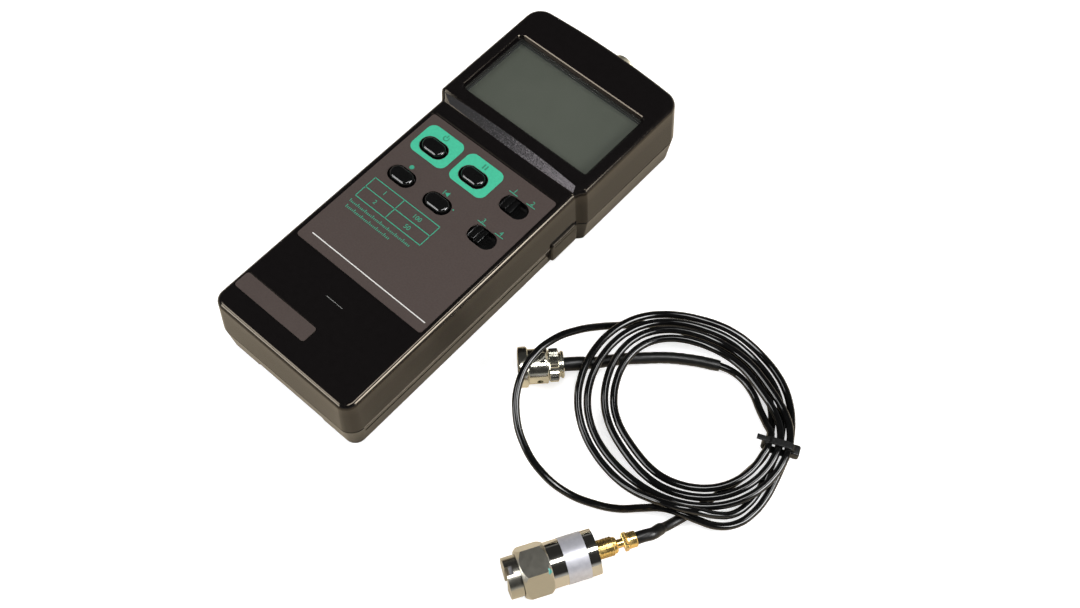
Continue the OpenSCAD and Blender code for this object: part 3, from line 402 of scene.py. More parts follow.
def metal(name, color, roughness):
    """Plated metal, a little uneven in colour and gloss."""
    material = shiny(name, color, roughness, 1.0)
    mottle(material, *spread_of(color, 1.08), 0.3)
    wear(material, roughness * 0.75, roughness * 1.3, 0.5)
    return grain(material, 0.35, 2.0, 0.004)


def ink(name, color, spread=1.04, **sockets):
    return plastic(name, color, 0.45, spread, 1.0, 0.003, **sockets)


def shaded_gloss(material, low, high, bottom, top):
    """Gloss that runs from low at the height bottom to high at the height top, so light and shade in the
    reflections are painted by height.
    """
    height = add(material, "SeparateXYZ", Vector=coordinates(material)).outputs[2]
    return drive(material, "Specular IOR Level", between(material, height, low, high, bottom, top))


turned = (3, 0.25, 0.25)
# Gloss of the black plastics. Its warm specular tint is a painted reflection: it colours their
# reflections brown.
gloss_with_painted_warm_reflection = {"Specular_IOR_Level": 0.3, "Specular_Tint": (1.0, 0.86, 0.68, 1.0)}
satin_gloss, ink_gloss = {"Specular_IOR_Level": 0.3}, {"Specular_IOR_Level": 0.2}
black, deep_black = (0.005, 0.005, 0.005), (0.004, 0.004, 0.004)
sleeve_black, rubber_black = (0.005, 0.005, 0.0048), (0.007, 0.0066, 0.006)
label_brown = (0.078, 0.059, 0.053)
# The hexagon's nickel colour is darker as painted shade. The round part's colour is the nickel's own.
hex_nickel_painted_shade, round_nickel = (0.40, 0.385, 0.33), (0.56, 0.54, 0.49)
trim_dark, trim_flake = (0.008, 0.007, 0.008), (0.22, 0.2, 0.215)

case_finish = plastic("case_gloss_black", (0.006, 0.0052, 0.0055), 0.13, 1.06, 0.4, 0.002, **gloss_with_painted_warm_reflection)
side_finish = plastic("rear_gloss_black", (0.008, 0.0072, 0.0065), 0.16, 1.06, 0.4, 0.004, **gloss_with_painted_warm_reflection)
# Reflections painted by height: the front shell's reflections grow stronger towards its face. The rear
# shell's reflections fade towards the floor as painted shade of the floor's contact shadow.
shaded_gloss(case_finish, 0.26, 0.4, 24.0, 29.5)
shaded_gloss(side_finish, 0.03, 0.2, 0.0, 12.5)
socket_finish = metal("socket_nickel", (0.62, 0.58, 0.44), 0.42)
sleeve_finish = plastic("shrink_sleeve_black", sleeve_black, 0.34, 1.3, 0.8, 0.05, **satin_gloss)


def calculate(material, operation, first, second):
    """Result of one step of arithmetic on two sockets or numbers."""
    node = add(material, "Math")
    node.operation = operation
    feed(material, node.inputs[0], first)
    feed(material, node.inputs[1], second)
    return node.outputs[0]


def trim_speckle():
    """Purple-grey trim with bright flakes, as fine as sand, with painted light that makes it paler
    towards the right.
    """
    material = shiny("trim_speckle_grey", (0.1, 0.1, 0.1), 0.5, Specular_IOR_Level=0.2)
    across = add(material, "SeparateXYZ", Vector=coordinates(material)).outputs[0]
    # Painted light: the trim's colour is made paler towards its right end.
    painted_light_to_right = between(material, across, 0.3, 0.64, -30.0, 30.0)
    total = calculate(material, "ADD", noise(material, 3.2, 4.0), painted_light_to_right)
    ramp = between(material, total, 0.0, 1.0, 0.97, 1.2)
    tint(material, ramp, trim_dark, trim_flake)
    return grain(material, 0.6, 5.0, 0.05)


def sensor_nickel():
    """Turned nickel: bright on the round part, satin on the hexagon, whose colour is darkened as painted
    shade of its dim flats.
    """
    material = shiny("sensor_nickel", round_nickel, 0.2, 1.0)
    axis = add(material, "SeparateXYZ", Vector=coordinates(material, (0, 0, -sensor_turn))).outputs[0]
    hex_end = sensor_at.dot(sensor_dir) + hex_top
    satin = between(material, axis, 0.23, 0.1, hex_end - hex_blend, hex_end)
    round_part = between(material, axis, 0.0, 1.0, hex_end - hex_blend, hex_end)
    # The hexagon's darker colour is painted shade. Its satin gloss is real.
    tint(material, round_part, hex_nickel_painted_shade, round_nickel)
    uneven = between(material, noise(material, 0.6, 4.0), -0.01, 0.01)
    drive(material, "Roughness", calculate(material, "ADD", satin, uneven))
    return grain(material, 0.2, 2.0, 0.001, (0, 0, -sensor_turn), turned)


def display_grey():
    """Reflective display: green-grey with a very faint mottle."""
    material = shiny("display_green_grey", (0.098, 0.11, 0.085), 0.4)
    mottle(material, (0.094, 0.106, 0.081), (0.103, 0.115, 0.089), 0.05)
    return grain(material, 0.2, 4.0, 0.003)


def window_clear():
    material = shiny("window_clear", (0.12, 0.13, 0.12), 0.06, Alpha=0.08, IOR=1.49)
    wear(material, 0.04, 0.09, 0.1)
    return grain(material, 0.1, 0.2, 0.002)


def band_silver():
    material = shiny("band_silver_foil", (0.56, 0.56, 0.61), 0.38, 0.45)
    mottle(material, (0.53, 0.53, 0.58), (0.6, 0.6, 0.65), 0.6)
    return grain(material, 0.4, 1.5, 0.01)


sensor_finish = sensor_nickel()
slot_finishes = {
    "case_black": case_finish, "trim_grey": trim_speckle(), "window_clear": window_clear(),
    "display_grey": display_grey(), "band_silver": band_silver(),
    "inner_black": plastic("inside_matte_black", (0.012, 0.012, 0.012), 0.55),
    "strip_pink": plastic("contact_strip_pink", (0.62, 0.24, 0.27), 0.6),
    "label_grey": plastic(
        "label_brown_grey", label_brown, 0.5, 1.05, 1.5, 0.004, Specular_IOR_Level=0.15
    ),
    "key_black": plastic("key_gloss_black", black, 0.1, 1.06, 0.4, 0.002),
    "switch_metal": metal("switch_case", (0.66, 0.66, 0.66), 0.35),
    "board_green": plastic("board_green", (0.015, 0.12, 0.05), 0.35, 1.3, 0.5, 0.01),
    "chip_black": plastic("chip_black", (0.02, 0.02, 0.02), 0.55),
    "part_grey": plastic("part_grey", (0.2, 0.2, 0.21), 0.5, 1.3, 0.3),
    "screw_steel": metal("zinc_steel", (0.56, 0.56, 0.57), 0.3),
    "nickel": metal("nickel_plate", (0.6, 0.585, 0.5), 0.16),
    "gold": metal("gold_plate", (0.80, 0.56, 0.20), 0.24),
    "cover_rubber": plastic("cover_rubber_black", rubber_black, 0.36, 1.1, 0.8, **gloss_with_painted_warm_reflection),
    "white_plastic": plastic("insulator_white", (0.75, 0.75, 0.71), 0.4, 1.03),
    "wire_white": plastic("wire_white", (0.7, 0.7, 0.68), 0.45, 1.05),
    "wire_red": plastic("wire_red", (0.42, 0.02, 0.02), 0.45, 1.1),
    "battery_case": plastic("battery_wrap", (0.06, 0.07, 0.09), 0.35, 1.2, 0.1),
    "ceramic_tan": plastic("ceramic_tan", (0.62, 0.5, 0.3), 0.6, 1.1),
    "mass_steel": metal("mass_steel", (0.5, 0.5, 0.51), 0.35),
    "magnet_dark": metal("magnet_dark", (0.16, 0.16, 0.17), 0.45),
    "cable_black": plastic(
        "cable_gloss_black", deep_black, 0.09, depth=0.004, Specular_IOR_Level=0.36
    ),
    "tie_black": plastic("tie_nylon_black", black, 0.3, 1.2, 0.8, 0.02, **satin_gloss),
}


def dress_nodes():
    """Gives every CAD node the finish of its slot."""
    for part in frame["record"]["subparts"]:
        node, slot = part["node"], part["material_slot"]
        material = slot_finishes[slot]
        if node in ("sensor_body", "magnet_base"):
            material = sensor_finish
        if node.startswith("bnc_") and slot == "nickel":
            material = socket_finish
        coat(frame["nodes"][node], material)


# Cable. The coil is worked out turn by turn as in the part's source.

coil_at = Vector((112.0, -3.0, 0))
coil_turn = 23.0
lane_step = layer_step = 3.35
low_h = 1.4
tie_lift, tie_lift_share = 1.1, 0.09
turn_points = 36
inner_radii = [28.4, 26.8, 24, 22.4, 27.2, 31.2, 29.2, 27.6]
tie_lanes = [-0.1, 1, 2, 1, 2, -0.1]
loop_lanes = [0, 1, 2, 3, 4]
last_lanes = [0, 1, 2, 3, 1]
tie_layers = [1, 1, 1, 0, 0, 0]
loop_layers = [1, 1, 1, 1, 0]
lane_out, lane_back, lane_home = (0.02, 0.14), (0.58, 0.18), (0.86, 0.14)
layer_up, layer_down = (0.12, 0.09), (0.74, 0.12)
bow_out, bow_place = [0, 0, 3, 3, 21.5], (0.4375, 0.1875)
sleeve_rise = [3.4, 4.4, 5.2, 6.2, 16]
sleeve_places = [(0.60, 0.2), (0.59, 0.2), (0.565, 0.2), (0.55, 0.2), (0.50, 0.15)]
cross_rise = [0, 0, 0.4, 5, 4.6]
cross_places = [(0.215, 0.1), (0.215, 0.1), (0.215, 0.1), (0.225, 0.11), (0.225, 0.1)]
tuck_in, tuck_place = [0, 0, 0, 0, 3.2], (0.235, 0.085)
straight_l, exit_l = 3.0, 3.0
sag_at, sag = 5.7, 0.5
first_gap = 4.5

# Routes outside the coil, listed point by point
plug_route = [
    (69.9, -13.1, 7.1), (74.4, -7.6, 5.9), (79, -0.8, 4.4), (84, 5, 3.2), (91, 12, 2.4),
    (99, 17.6, 2.2), (106.6, 21.6, 2.2)
]
plug_end_route = [(113.5, 23, 1.9), (121, 21.2, 1.9), (128, 16.9, 2.4), (133, 13.4, 4.4)]
sensor_end_route = [(138.6, -4, 1.8), (136.6, -14.5, 1.7), (134.6, -22, 1.7), (133.2, -28, 1.9)]
sensor_route = [(131.8, -32.5, 2), (130.6, -37, 3), (129.6, -41, 5)]


def ease(x, start=0, span=1):
    """Smooth step from 0 to 1, from start on over the span."""
    c = min(1, max(0, (x - start) / span))
    return c * c * (3 - 2 * c)


def bump(s, middle, half):
    """Smooth hump of height 1, which ends at half to both sides of the middle."""
    return cos(pi / 2 * min(1, abs(s - middle) / half)) ** 2


def around(values, s):
    """Smooth closed curve through values at equal shares of a turn."""
    n = len(values)
    k, f = int(s * n) % n, s * n % 1
    a, b, c, d = (values[(k + i) % n] for i in (-1, 0, 1, 2))
    cubic = 1.5 * (b - c) + (d - a) / 2
    return b + f * (c - a) / 2 + f * f * (a - 2.5 * b + 2 * c - d / 2) + f ** 3 * cubic


def coil_point(t):
    """Point of the coil after t turns: its lane, its layer, its radius and its height."""
    j = min(int(t), len(loop_lanes) - 1)
    s = t - j
    lane = (
        tie_lanes[j] + (loop_lanes[j] - tie_lanes[j]) * ease(s, *lane_out)
        + (last_lanes[j] - loop_lanes[j]) * ease(s, *lane_back)
        + (tie_lanes[j + 1] - last_lanes[j]) * ease(s, *lane_home)
    )
    layer = (
        tie_layers[j] + (loop_layers[j] - tie_layers[j]) * ease(s, *layer_up)
        + (tie_layers[j + 1] - loop_layers[j]) * ease(s, *layer_down)
    )
    r = (
        around(inner_radii, s) + lane_step * lane + bow_out[j] * bump(s, *bow_place)
        - tuck_in[j] * bump(s, *tuck_place)
    )
    z = (
        low_h + layer_step * layer + sleeve_rise[j] * bump(s, *sleeve_places[j])
        + cross_rise[j] * bump(s, *cross_places[j]) + tie_lift * bump(min(s, 1 - s), 0, tie_lift_share)
    )
    return coil_at + r * level(radians(coil_turn - 360 * s)) + Vector((0, 0, z))


def plug_stretch():
    """From the plug's back to the end of its sleeve."""
    first = plug_back + exit_l * plug_dir
    far = [Vector(p) for p in plug_route if (Vector(p) - first).length > first_gap]
    return [plug_back, first] + far


def sensor_stretch():
    """From the ferrule to the end of the sensor's sleeve."""
    first = ferrule_end + exit_l * sensor_dir
    second = ferrule_end + sag_at * sensor_dir - Vector((0, 0, sag))
    back = [Vector(p) for p in reversed(sensor_route)]
    return [ferrule_end, first, second] + back + [Vector(sensor_end_route[-1])]


def cable_points():
    """The whole cable from the ferrule to the plug."""
    loops = len(loop_lanes)
    along_tie = straight_l * level(radians(coil_turn - 90))
    first, last = coil_point(0), coil_point(loops)
    turns = [coil_point(k / turn_points) for k in range(1, loops * turn_points)]
    sensor_side = [Vector(p) for p in reversed(sensor_end_route[:-1])] + [last + along_tie, last]
    plug_side = [first, first - along_tie] + [Vector(p) for p in reversed(plug_end_route)]
    coil = [last - along_tie] + turns[::-1] + [first + along_tie]
    return sensor_stretch() + sensor_side + coil + plug_side + plug_stretch()[::-1]


def smooth_line(points):
    """Points of a smooth curve through a route's points, close to the cable's own curve."""
    ways = [
        ((p - before).normalized() + (after - p).normalized()).normalized()
        for before, p, after in zip(points[:1] + points, points, points[1:] + points[-1:])
    ]
    line = [points[0]]
    for a, b, leaving, arriving in zip(points, points[1:], ways, ways[1:]):
        third = (b - a).length / 3
        line += interpolate_bezier(a, a + third * leaving, b - third * arriving, b, 9)[1:]
    return line


def strand(name, r, resolution, kind):
    """Curve object with a round section and closed ends, and its empty spline."""
    curve = bpy.data.curves.new(name, "CURVE")
    curve.dimensions = "3D"
    curve.bevel_depth = r * MM
    curve.bevel_resolution = resolution
    curve.use_fill_caps = True
    return linked(name, curve), curve.splines.new(kind)


def tube(name, line, radii):
    """Mesh tube along a line in millimetres, with a radius at each point."""
    obj, spline = strand(name, 1, 6, "POLY")
    spline.points.add(len(line) - 1)
    for point, p, r in zip(spline.points, line, radii):
        point.co = (*(p * MM), 1)
        point.radius = r
    only(obj)
    bpy.ops.object.convert(target="MESH")
    return outward(bpy.context.object)


def distances(line):
    """Length of the line up to each of its points."""
    return [0.0, *accumulate((b - a).length for a, b in zip(line, line[1:]))]


def add_cable():
    points = cable_points()
    obj, spline = strand("cable", cable_d / 2, 4, "BEZIER")
    obj.data.resolution_u = spline.resolution_u = 5
    spline.bezier_points.add(len(points) - 1)
    for knot, p in zip(spline.bezier_points, points):
        knot.co = p * MM
        knot.handle_left_type = knot.handle_right_type = "AUTO"
    return finish(
        obj, "cable", "sensor_lead", "cable_black",
        "cable_coil", "cable_plug_end", "cable_sensor_end"
    )


layer_t = 0.4
ripple_pitch, ripple_from = 1.9, 9.0


def add_sleeve(name, node, route, r, outer_l, outer_slope, end_taper, end_l, ripple=0.0):
    """Shrink sleeve, a double layer as far as outer_l, with a thin end and a faint ripple."""
    line = smooth_line(route)
    far = distances(line)
    radii = [
        r - layer_t * ease(d, outer_l, outer_slope) - end_taper * ease(d - far[-1] + end_l, 0, end_l)
        + ripple * sin(d * ripple_pitch) * ease(d, ripple_from, 3)
        for d in far
    ]
    sleeve = smooth(tube(name, line, radii))
    return finish(sleeve, name, "sensor_lead", "cable_black", node, material=sleeve_finish)


add_camera()
cable = add_cable()
sleeves = [
    add_sleeve("plug_sleeve_tube", "plug_sleeve", plug_stretch(), 2.5, 7.5, 1.2, 0.25, 1.5, 0.04),
    add_sleeve("sensor_sleeve_tube", "sensor_sleeve", sensor_stretch(), 2.1, 10.5, 1.6, 0.2, 1.0)
]


# Case

corner_steps, step_steps, bow_steps = 12, 16, 8


def case_outline(inset):
    """Outline of the case moved in by inset: straight body, widening to the head and bowed end."""
    body_r, head_r = body_corner_r - inset, head_corner_r - inset
    right = arc(body_hw - body_corner_r, body_corner_r - half_l, body_r, -90, 0, corner_steps)
    right += [
        (body_hw + (head_hw - body_hw) * ease(share) - inset, slope_foot_y + step_l * share)
        for share in (k / step_steps for k in range(step_steps + 1))
    ]
    bow_y = half_l - end_bow
    right += arc(head_hw - head_corner_r, bow_y - head_corner_r, head_r, 0, head_arc, corner_steps)
    right += [
        ((head_hw - head_corner_r) * k / bow_steps, half_l - end_bow * (k / bow_steps) ** 2 - inset)
        for k in range(bow_steps, 0, -1)
    ]
    return right + [(-x, y) for x, y in reversed(right)]


def skin_h(y):
    """Height of the case's face at y: low at the keys, high at the head, with a slope between."""
    return face_h + (head_h - face_h) * min(1, max(0, (y - slope_foot_y) / slope_l))


def front_ring(inset, drop):
    return [(x, y, skin_h(y) - drop) for x, y in case_outline(inset)]


def split_along(obj, *ys):
    """Cuts the mesh's faces along lines across the case."""
    edit(obj)
    for y in ys:
        bpy.ops.mesh.select_all(action="SELECT")
        bpy.ops.mesh.bisect(plane_co=(0, y * MM, 0), plane_no=(0, 1, 0), threshold=0.00001)
    bpy.ops.object.mode_set(mode="OBJECT")
    return obj


def face_seat(w, l, r, x, y):
    """Shallow seat in the face for a printed plate."""
    return prism(rounded(w, l, r, x, y), face_h - seat_d, face_h + 1)


def front_case():
    """Front shell with its round edges, the display's recess and all holes."""
    rings = [at(case_outline(joint_bevel), split_h), at(case_outline(0), split_h + joint_bevel)]
    rings += [front_ring(front_taper + inset, -z) for inset, z in rounded_over(edge_r, 0, 6)]
    case = split_along(loft("front_case", rings), slope_foot_y, slope_foot_y + slope_l)
    cavity = prism(case_outline(front_taper + wall), split_h - 1, face_h - wall)
    window = rounded(window_w + window_play, window_l + window_play, window_r, 0, window_y)
    walls, wide, wider = (
        rounded(window_w + 2 * w, window_l + 2 * w, window_r + w, 0, window_y)
        for w in (bevel_w - rim_w, bevel_w, bevel_w + rim_w)
    )
    recess = loft("cutter", [
        at(window, face_h - 2 * wall), at(window, pane_top), at(walls, pane_top),
        at(walls, head_h - rim_w), at(wide, head_h), at(wider, head_h + rim_w)
    ])
    label_seat = face_seat(label_w + label_play, label_l + label_play, label_corner, 0, label_y)
    plate_seat = face_seat(plate_w + plate_play, plate_l + plate_play, plate_corner, plate_x, plate_y)
    holes = [
        prism(stadium(hole_l, hole_w, x, y), face_h - 2 * wall, face_h + 1)
        for x, y in [*key_places.values(), *slide_places.values()]
    ]
    cut(case, cavity, recess, label_seat, plate_seat, join(*holes), cover_pocket(), socket_seat())
    soften(case, front_edge)
    finish(case, "front_case", "meter", "case_black", "front_shell")


def cover_pocket():
    """Pocket in the right side in which the jack's cover lies."""
    low, high = cover_low_z - cover_play, cover_high_z + cover_play
    return box_cutter(pocket_w, cover_l + cover_play, low, high, pocket_x, cover_y, 0.3)


def socket_seat():
    """Round seat in the end wall for the socket."""
    seat = prism(circle(socket_seat_r), 0, 2)
    turn = Matrix.Rotation(radians(-90), 4, "X")
    return place(seat, Vector((0, half_l - socket_seat_d, socket_h)), turn)


def rear_case():
    """Rear shell with a round lower edge, the door's opening, finger grooves and screw seats."""
    rings = [
        at(case_outline(rear_taper * (1 + z / split_h) + inset), -z)
        for inset, z in reversed(rounded_over(rear_edge_r, 0, 4))
    ]
    top = split_h - shell_gap
    rings.append(at(case_outline(shell_step), top - joint_bevel))
    rings.append(at(case_outline(joint_bevel + shell_step), top))
    case = loft("rear_case", rings)
    cavity = prism(case_outline(rear_taper + wall), wall, split_h + 1)
    door = box_cutter(door_w, door_l, -1, wall + 1, 0, door_y)
    grooves = [
        box_cutter(2 * grip_d, grip_l, grip_low, grip_high, x, grip_y, 0.3) for x in (-body_hw, body_hw)
    ]
    screws = [
        prism(moved(circle(screw_head_r, 32), x, y), -1, screw_seat_d) for x, y in screw_places
    ]
    cut(case, cavity, door, join(*grooves), join(*screws), cover_pocket(), socket_seat())
    soften(case, rear_edge)
    finish(case, "rear_case", "meter", "case_black", "rear_shell", material=side_finish)


# Keys and slide knobs

key_l, key_w, key_top = 10.0, 6.0, 31.4
key_round = 1.1
key_dish = [(3.4, 0.12), (4.6, 0.2)]
key_foot_w, key_low = 3.0, 25.8
flange_l, flange_w, flange_low, flange_top = 13.5, 9.2, 26.5, 27.5
knob_l, knob_w, knob_top, ridge_top = 5.6, 5.8, 30.7, 31.3
knob_flange_l, knob_shift = 16.1, 2.0
lip_w, ridge_w, knob_hollow = 0.7, 1.3, 0.5


def rounded_over(r, top, steps=5):
    """Insets and heights of an edge of radius r, from its foot to the top."""
    return [
        (r * (1 - cos(a)), top - r * (1 - sin(a)))
        for a in (pi / 2 * k / steps for k in range(steps + 1))
    ]


def add_key(name, body, node, x, y):
    """Glossy cap with a rounded rim and a faint dish, its flange under the face and its foot."""
    foot, flange = (key_foot_w, key_foot_w), (flange_l, flange_w)
    sizes = [(*foot, key_low), (*foot, flange_low), (*flange, flange_low), (*flange, flange_top),
             (key_l, key_w, flange_top)]
    sizes += [(key_l - 2 * i, key_w - 2 * i, z) for i, z in rounded_over(key_round, key_top)]
    sizes += [(key_l - i, key_w - i, key_top - depth) for i, depth in key_dish]
    cap = loft(name, [at(stadium(l, w, x, y), z) for l, w, z in sizes])
    finish(smooth(cap, 40), name, body, "key_black", node)


def add_knob(name, body, node, x, y):
    """Slide knob: a lip at each end, a ridge across its middle and the plate that fills its slot."""
    left = x - knob_shift
    hollow = knob_top - knob_hollow
    knob = prism(rounded(knob_l, knob_w, 0.4, left, y, 4), flange_low, hollow)
    lip_x = knob_l / 2 - lip_w / 2
    bars = ((-lip_x, lip_w, knob_top), (0, ridge_w, ridge_top), (lip_x, lip_w, knob_top))
    for middle, width, top in bars:
        bar = loft("bar", [
            at(rounded(width - i, knob_w - i, 0.3 - i / 2, left + middle, y, 4), z)
            for i, z in ((0, hollow - 0.5), (0, top - 0.25), (0.15, top - 0.07), (0.45, top))
        ])
        knob = join(knob, bar)
    smooth(knob, 40)
    plate = prism(stadium(knob_flange_l, flange_w, left, y), flange_low, flange_top)
    finish(join(knob, plate), name, body, "key_black", node)


def add_keys():
    for name, (x, y) in key_places.items():
        add_key(name + "_cap", name + "_key", name + "_button", x, y)
    for name, (x, y) in slide_places.items():
        add_knob(name + "_slide_cap", name + "_slide", name + "_knob", x, y)


# Print on the label, and a painted highlight on the face

line_w = 0.34
square_w, square_l, square_r = 17.0, 14.0, 3.0
square_places = [(-18.9, 10.8), (0.45, 10.8)]
table, table_split = (-26.0, 5.8, -23.9, -13.8), -11.372
tick_rows = [(-26.0, 2.9, -26.4), (-25.3, -4.0, -29.0)]
tick_w, tick_l, tick_pitch = 0.28, 1.3, 0.74
legend_l, legend_w, legend_rise, legend_gap = 3.9, 0.3, 4.15, 4.1
numeral_h, numeral_drop = 2.6, 0.9
mark_rise, mark_dot_r = 5.2, 0.9
mark_triangle = [(-1.0, 0.0), (0.8, -1.0), (0.8, 1.0)]
mark_bar = (-1.5, -1.2, -1.0, 1.0)
power_mark_at, hold_mark_at = (-18.9, 15.6), (0.45, 15.6)
small_dot_at, small_dot_r = (4.4, -5.4), 0.3
white_line = (-26, 28.5, -45.2, -44.8)
# Grey dash on the face: a painted highlight of light along a moulded line, not print.
painted_highlight_dash = (-3.9, 3.8, -59.7, -59.54)


def bar_outline(x0, x1, y0, y1):
    return [(x0, y0), (x1, y0), (x1, y1), (x0, y1)]


def print_of(outline, low=label_top - print_t, high=label_top + print_t):
    return prism(outline, low, high, "print")


def print_over(outline):
    """Print on top of other print."""
    return print_of(outline, label_top, label_top + 2 * print_t)


def numeral(text, x, y):
    bpy.ops.object.text_add(location=(0, 0, 0))
    obj = bpy.context.object
    obj.data.body = text
    obj.data.size = numeral_h * MM
    obj.data.align_x = "CENTER"
    obj.data.extrude = print_t * MM
    obj.data.resolution_u = 4
    bpy.ops.object.convert(target="MESH")
    return place(bpy.context.object, Vector((x, y, label_top)), Matrix.Identity(4))


def add_squares():
    """Squares round the power and hold keys, cut out where the keys come through."""
    squares = []
    for (x, y), key in zip(square_places, ("power", "hold")):
        square = print_of(rounded(square_w, square_l, square_r, x, y))
        hole = prism(stadium(hole_l + 0.4, hole_w + 0.4, *key_places[key]), face_h - 1, face_h + 1)
        squares.append(cut(square, hole))
    return squares


def table_lines():
    x0, x1, y0, y1 = table
    half = line_w / 2
    rows = [bar_outline(x0 - half, x1 + half, y - half, y + half) for y in (y0, (y0 + y1) / 2, y1)]
    columns = [bar_outline(x - half, x + half, y0, y1) for x in (x0, table_split, x1)]
    return rows + columns


def table_numbers():
    x0, x1, y0, y1 = table
    left, right = (x0 + table_split) / 2, (table_split + x1) / 2
    rise = (y1 - y0) / 4
    low, high = y0 + rise - numeral_drop, y1 - rise - numeral_drop
    return [
        numeral(text, x, y)
        for text, x, y in (("1", left, high), ("2", left, low), ("100", right, high), ("50", right, low))
    ]


def tick_lines():
    """Rows of ticks under the table, each fifth one longer."""
    ticks = []
    for start, end, y in tick_rows:
        for k in range(int((end - start) / tick_pitch) + 1):
            height = tick_l if k % 5 == 0 else 0.6 * tick_l
            x = start + k * tick_pitch
            ticks.append(bar_outline(x, x + tick_w, y - tick_l / 2, y - tick_l / 2 + height))
    return ticks


def switch_legends():
    """Number over a short line at both ends of each slide switch."""
    marks = []
    for (x, y), pair in zip(slide_places.values(), (("1", "2"), ("3", "4"))):
        for side, text in zip((-1, 1), pair):
            middle = x + side * legend_gap
            low = y + legend_rise
            left, right = middle - legend_l / 2, middle + legend_l / 2
            marks.append(print_of(bar_outline(left, right, low, low + legend_w)))
            marks.append(numeral(text, middle, low + 2 * legend_w))
    return marks


def key_marks():
    """Filled dot over the record key, and a triangle with a bar over the recall key."""
    (rx, ry), (cx, cy) = key_places["record"], key_places["recall"]
    return [
        print_of(moved(circle(mark_dot_r, 20), rx, ry + mark_rise)),
        print_of(moved(mark_triangle, cx, cy + mark_rise)),
        print_of(moved(bar_outline(*mark_bar), cx, cy + mark_rise))
    ]


def power_mark(x, y, r=1.25, width=0.42):
    """Open ring with a stroke in its gap."""
    outer, inner = (arc(x, y, radius, 125, 415, 20) for radius in (r, r - width))
    stem = bar_outline(x - width / 2, x + width / 2, y + 0.2, y + r + 0.4)
    return [print_over(outer + inner[::-1]), print_over(stem)]


def hold_mark(x, y, height=2.2, width=0.6, gap=0.6):
    """Two upright bars."""
    sides = [(x - gap / 2 - width, x - gap / 2), (x + gap / 2, x + gap / 2 + width)]
    return [print_over(bar_outline(a, b, y - height / 2, y + height / 2)) for a, b in sides]


def add_print():
    """All print on the label, and a painted highlight dash on the face, one piece for each ink."""
    numbers = table_numbers()
    lines = [print_of(outline) for outline in table_lines() + tick_lines()]
    dot = print_of(moved(circle(small_dot_r, 12), *small_dot_at))
    squares = join(*add_squares())
    thin = join(*lines, *numbers, *switch_legends(), *key_marks(), dot)
    line = print_of(bar_outline(*white_line))
    # Painted highlight: a grey bar on the face where light catches a moulded line.
    dash = print_of(bar_outline(*painted_highlight_dash), face_h - print_t, face_h + print_t)
    dark = join(*power_mark(*power_mark_at), *hold_mark(*hold_mark_at))
    for piece, name, finish_of in (
        (squares, "label_print_squares", ink("print_teal", (0.065, 0.54, 0.33), **ink_gloss)),
        (thin, "label_print_thin", ink("print_teal_thin", (0.05, 0.38, 0.24), **ink_gloss)),
        (line, "label_print_white", ink("print_white", (0.78, 0.77, 0.74), 1.03)),
        (dash, "face_painted_highlight_dash", ink("painted_highlight_grey", (0.3, 0.3, 0.29), 1.03)),
        (dark, "label_print_dark", ink("print_dark_teal", (0.03, 0.26, 0.155), 1.05))
    ):
        finish(piece, name, "meter", "label_grey", material=finish_of)


# Trim on the slope and the jack's cover

trim_foot_hw, trim_foot_gap, trim_foot_bow = 31.4, 0.25, 0.5
trim_top_hw, trim_top_gap, trim_top_bow = 33.3, 0.15, 1.1
trim_t, trim_proud = 0.3, 0.06


def add_trim():
    """Thin trim along the slope, narrower at its ends and bowed towards the head."""
    shares = [k / 12 for k in range(-12, 13)]
    top_y = slope_foot_y + slope_l - trim_top_gap
    foot = [(trim_foot_hw * k, slope_foot_y + trim_foot_gap + trim_foot_bow * k * k) for k in shares]
    top = [(trim_top_hw * k, top_y - trim_top_bow * k * k) for k in reversed(shares)]
    rings = [
        [(x, y, skin_h(y) + rise) for x, y in foot + top] for rise in (trim_proud - trim_t, trim_proud)
    ]
    finish(loft("trim", rings), "slope_trim", "meter", "trim_grey", "trim_band")


cover_edge = 0.15
groove_l, groove_low, groove_high, groove_d = 11.0, 2.9, 3.3, 0.25


def add_cover():
    """Rubber flap over the output jack, with rounded edges and a groove that leaves a lip."""
    middle = (cover_low_z + cover_high_z) / 2
    sizes = [(cover_edge, cover_low_x), (0, cover_low_x + cover_edge)]
    sizes += rounded_over(cover_round, cover_top_x)
    rings = []
    for inset, x in sizes:
        width, height = cover_l - 2 * inset, cover_high_z - cover_low_z - 2 * inset
        outline = rounded(width, height, cover_corner - inset)
        rings.append([(x, cover_y + u, middle + v) for u, v in outline])
    low, high = middle + groove_low, middle + groove_high
    groove = box_cutter(2 * groove_d, groove_l, low, high, cover_top_x, cover_y, 0.1)
    flap = smooth(cut(loft("cover", rings), groove), 40)
    finish(flap, "jack_flap", "cover", "cover_rubber", "jack_cover")


# Connectors. Each is made with local +Z along its axis.

def along(obj, origin, angle):
    """Turns local +Z to the level direction at angle and moves the piece to its place."""
    return place(obj, origin, Matrix.Rotation(angle, 4, "Z") @ quarter_turn("Y"))


def turned_solid(profile, steps):
    """Solid of revolution through (radius, height) steps."""
    return loft("turned", [at(circle(r, steps), z) for r, z in profile])


nut_low, nut_high, nut_r = 30.55, 37.75, 3.25
knurl_points, knurl_rings, knurl_d = 28, 10, 0.45
nut_rim, nut_groove = 0.7, 1.5


def knurled(name, steps, rows, angle):
    """Solid through rows of a radius and a height, and of the depth and shift of their teeth."""
    def ring(r, z, depth=0.0, shift=0):
        radii = [r - depth * ((k + shift) % 2) for k in range(steps)]
        return [(radius * x, radius * y, z) for radius, (x, y) in zip(radii, circle(1, steps))]
    return smooth(loft(name, [ring(*row) for row in rows]), angle)


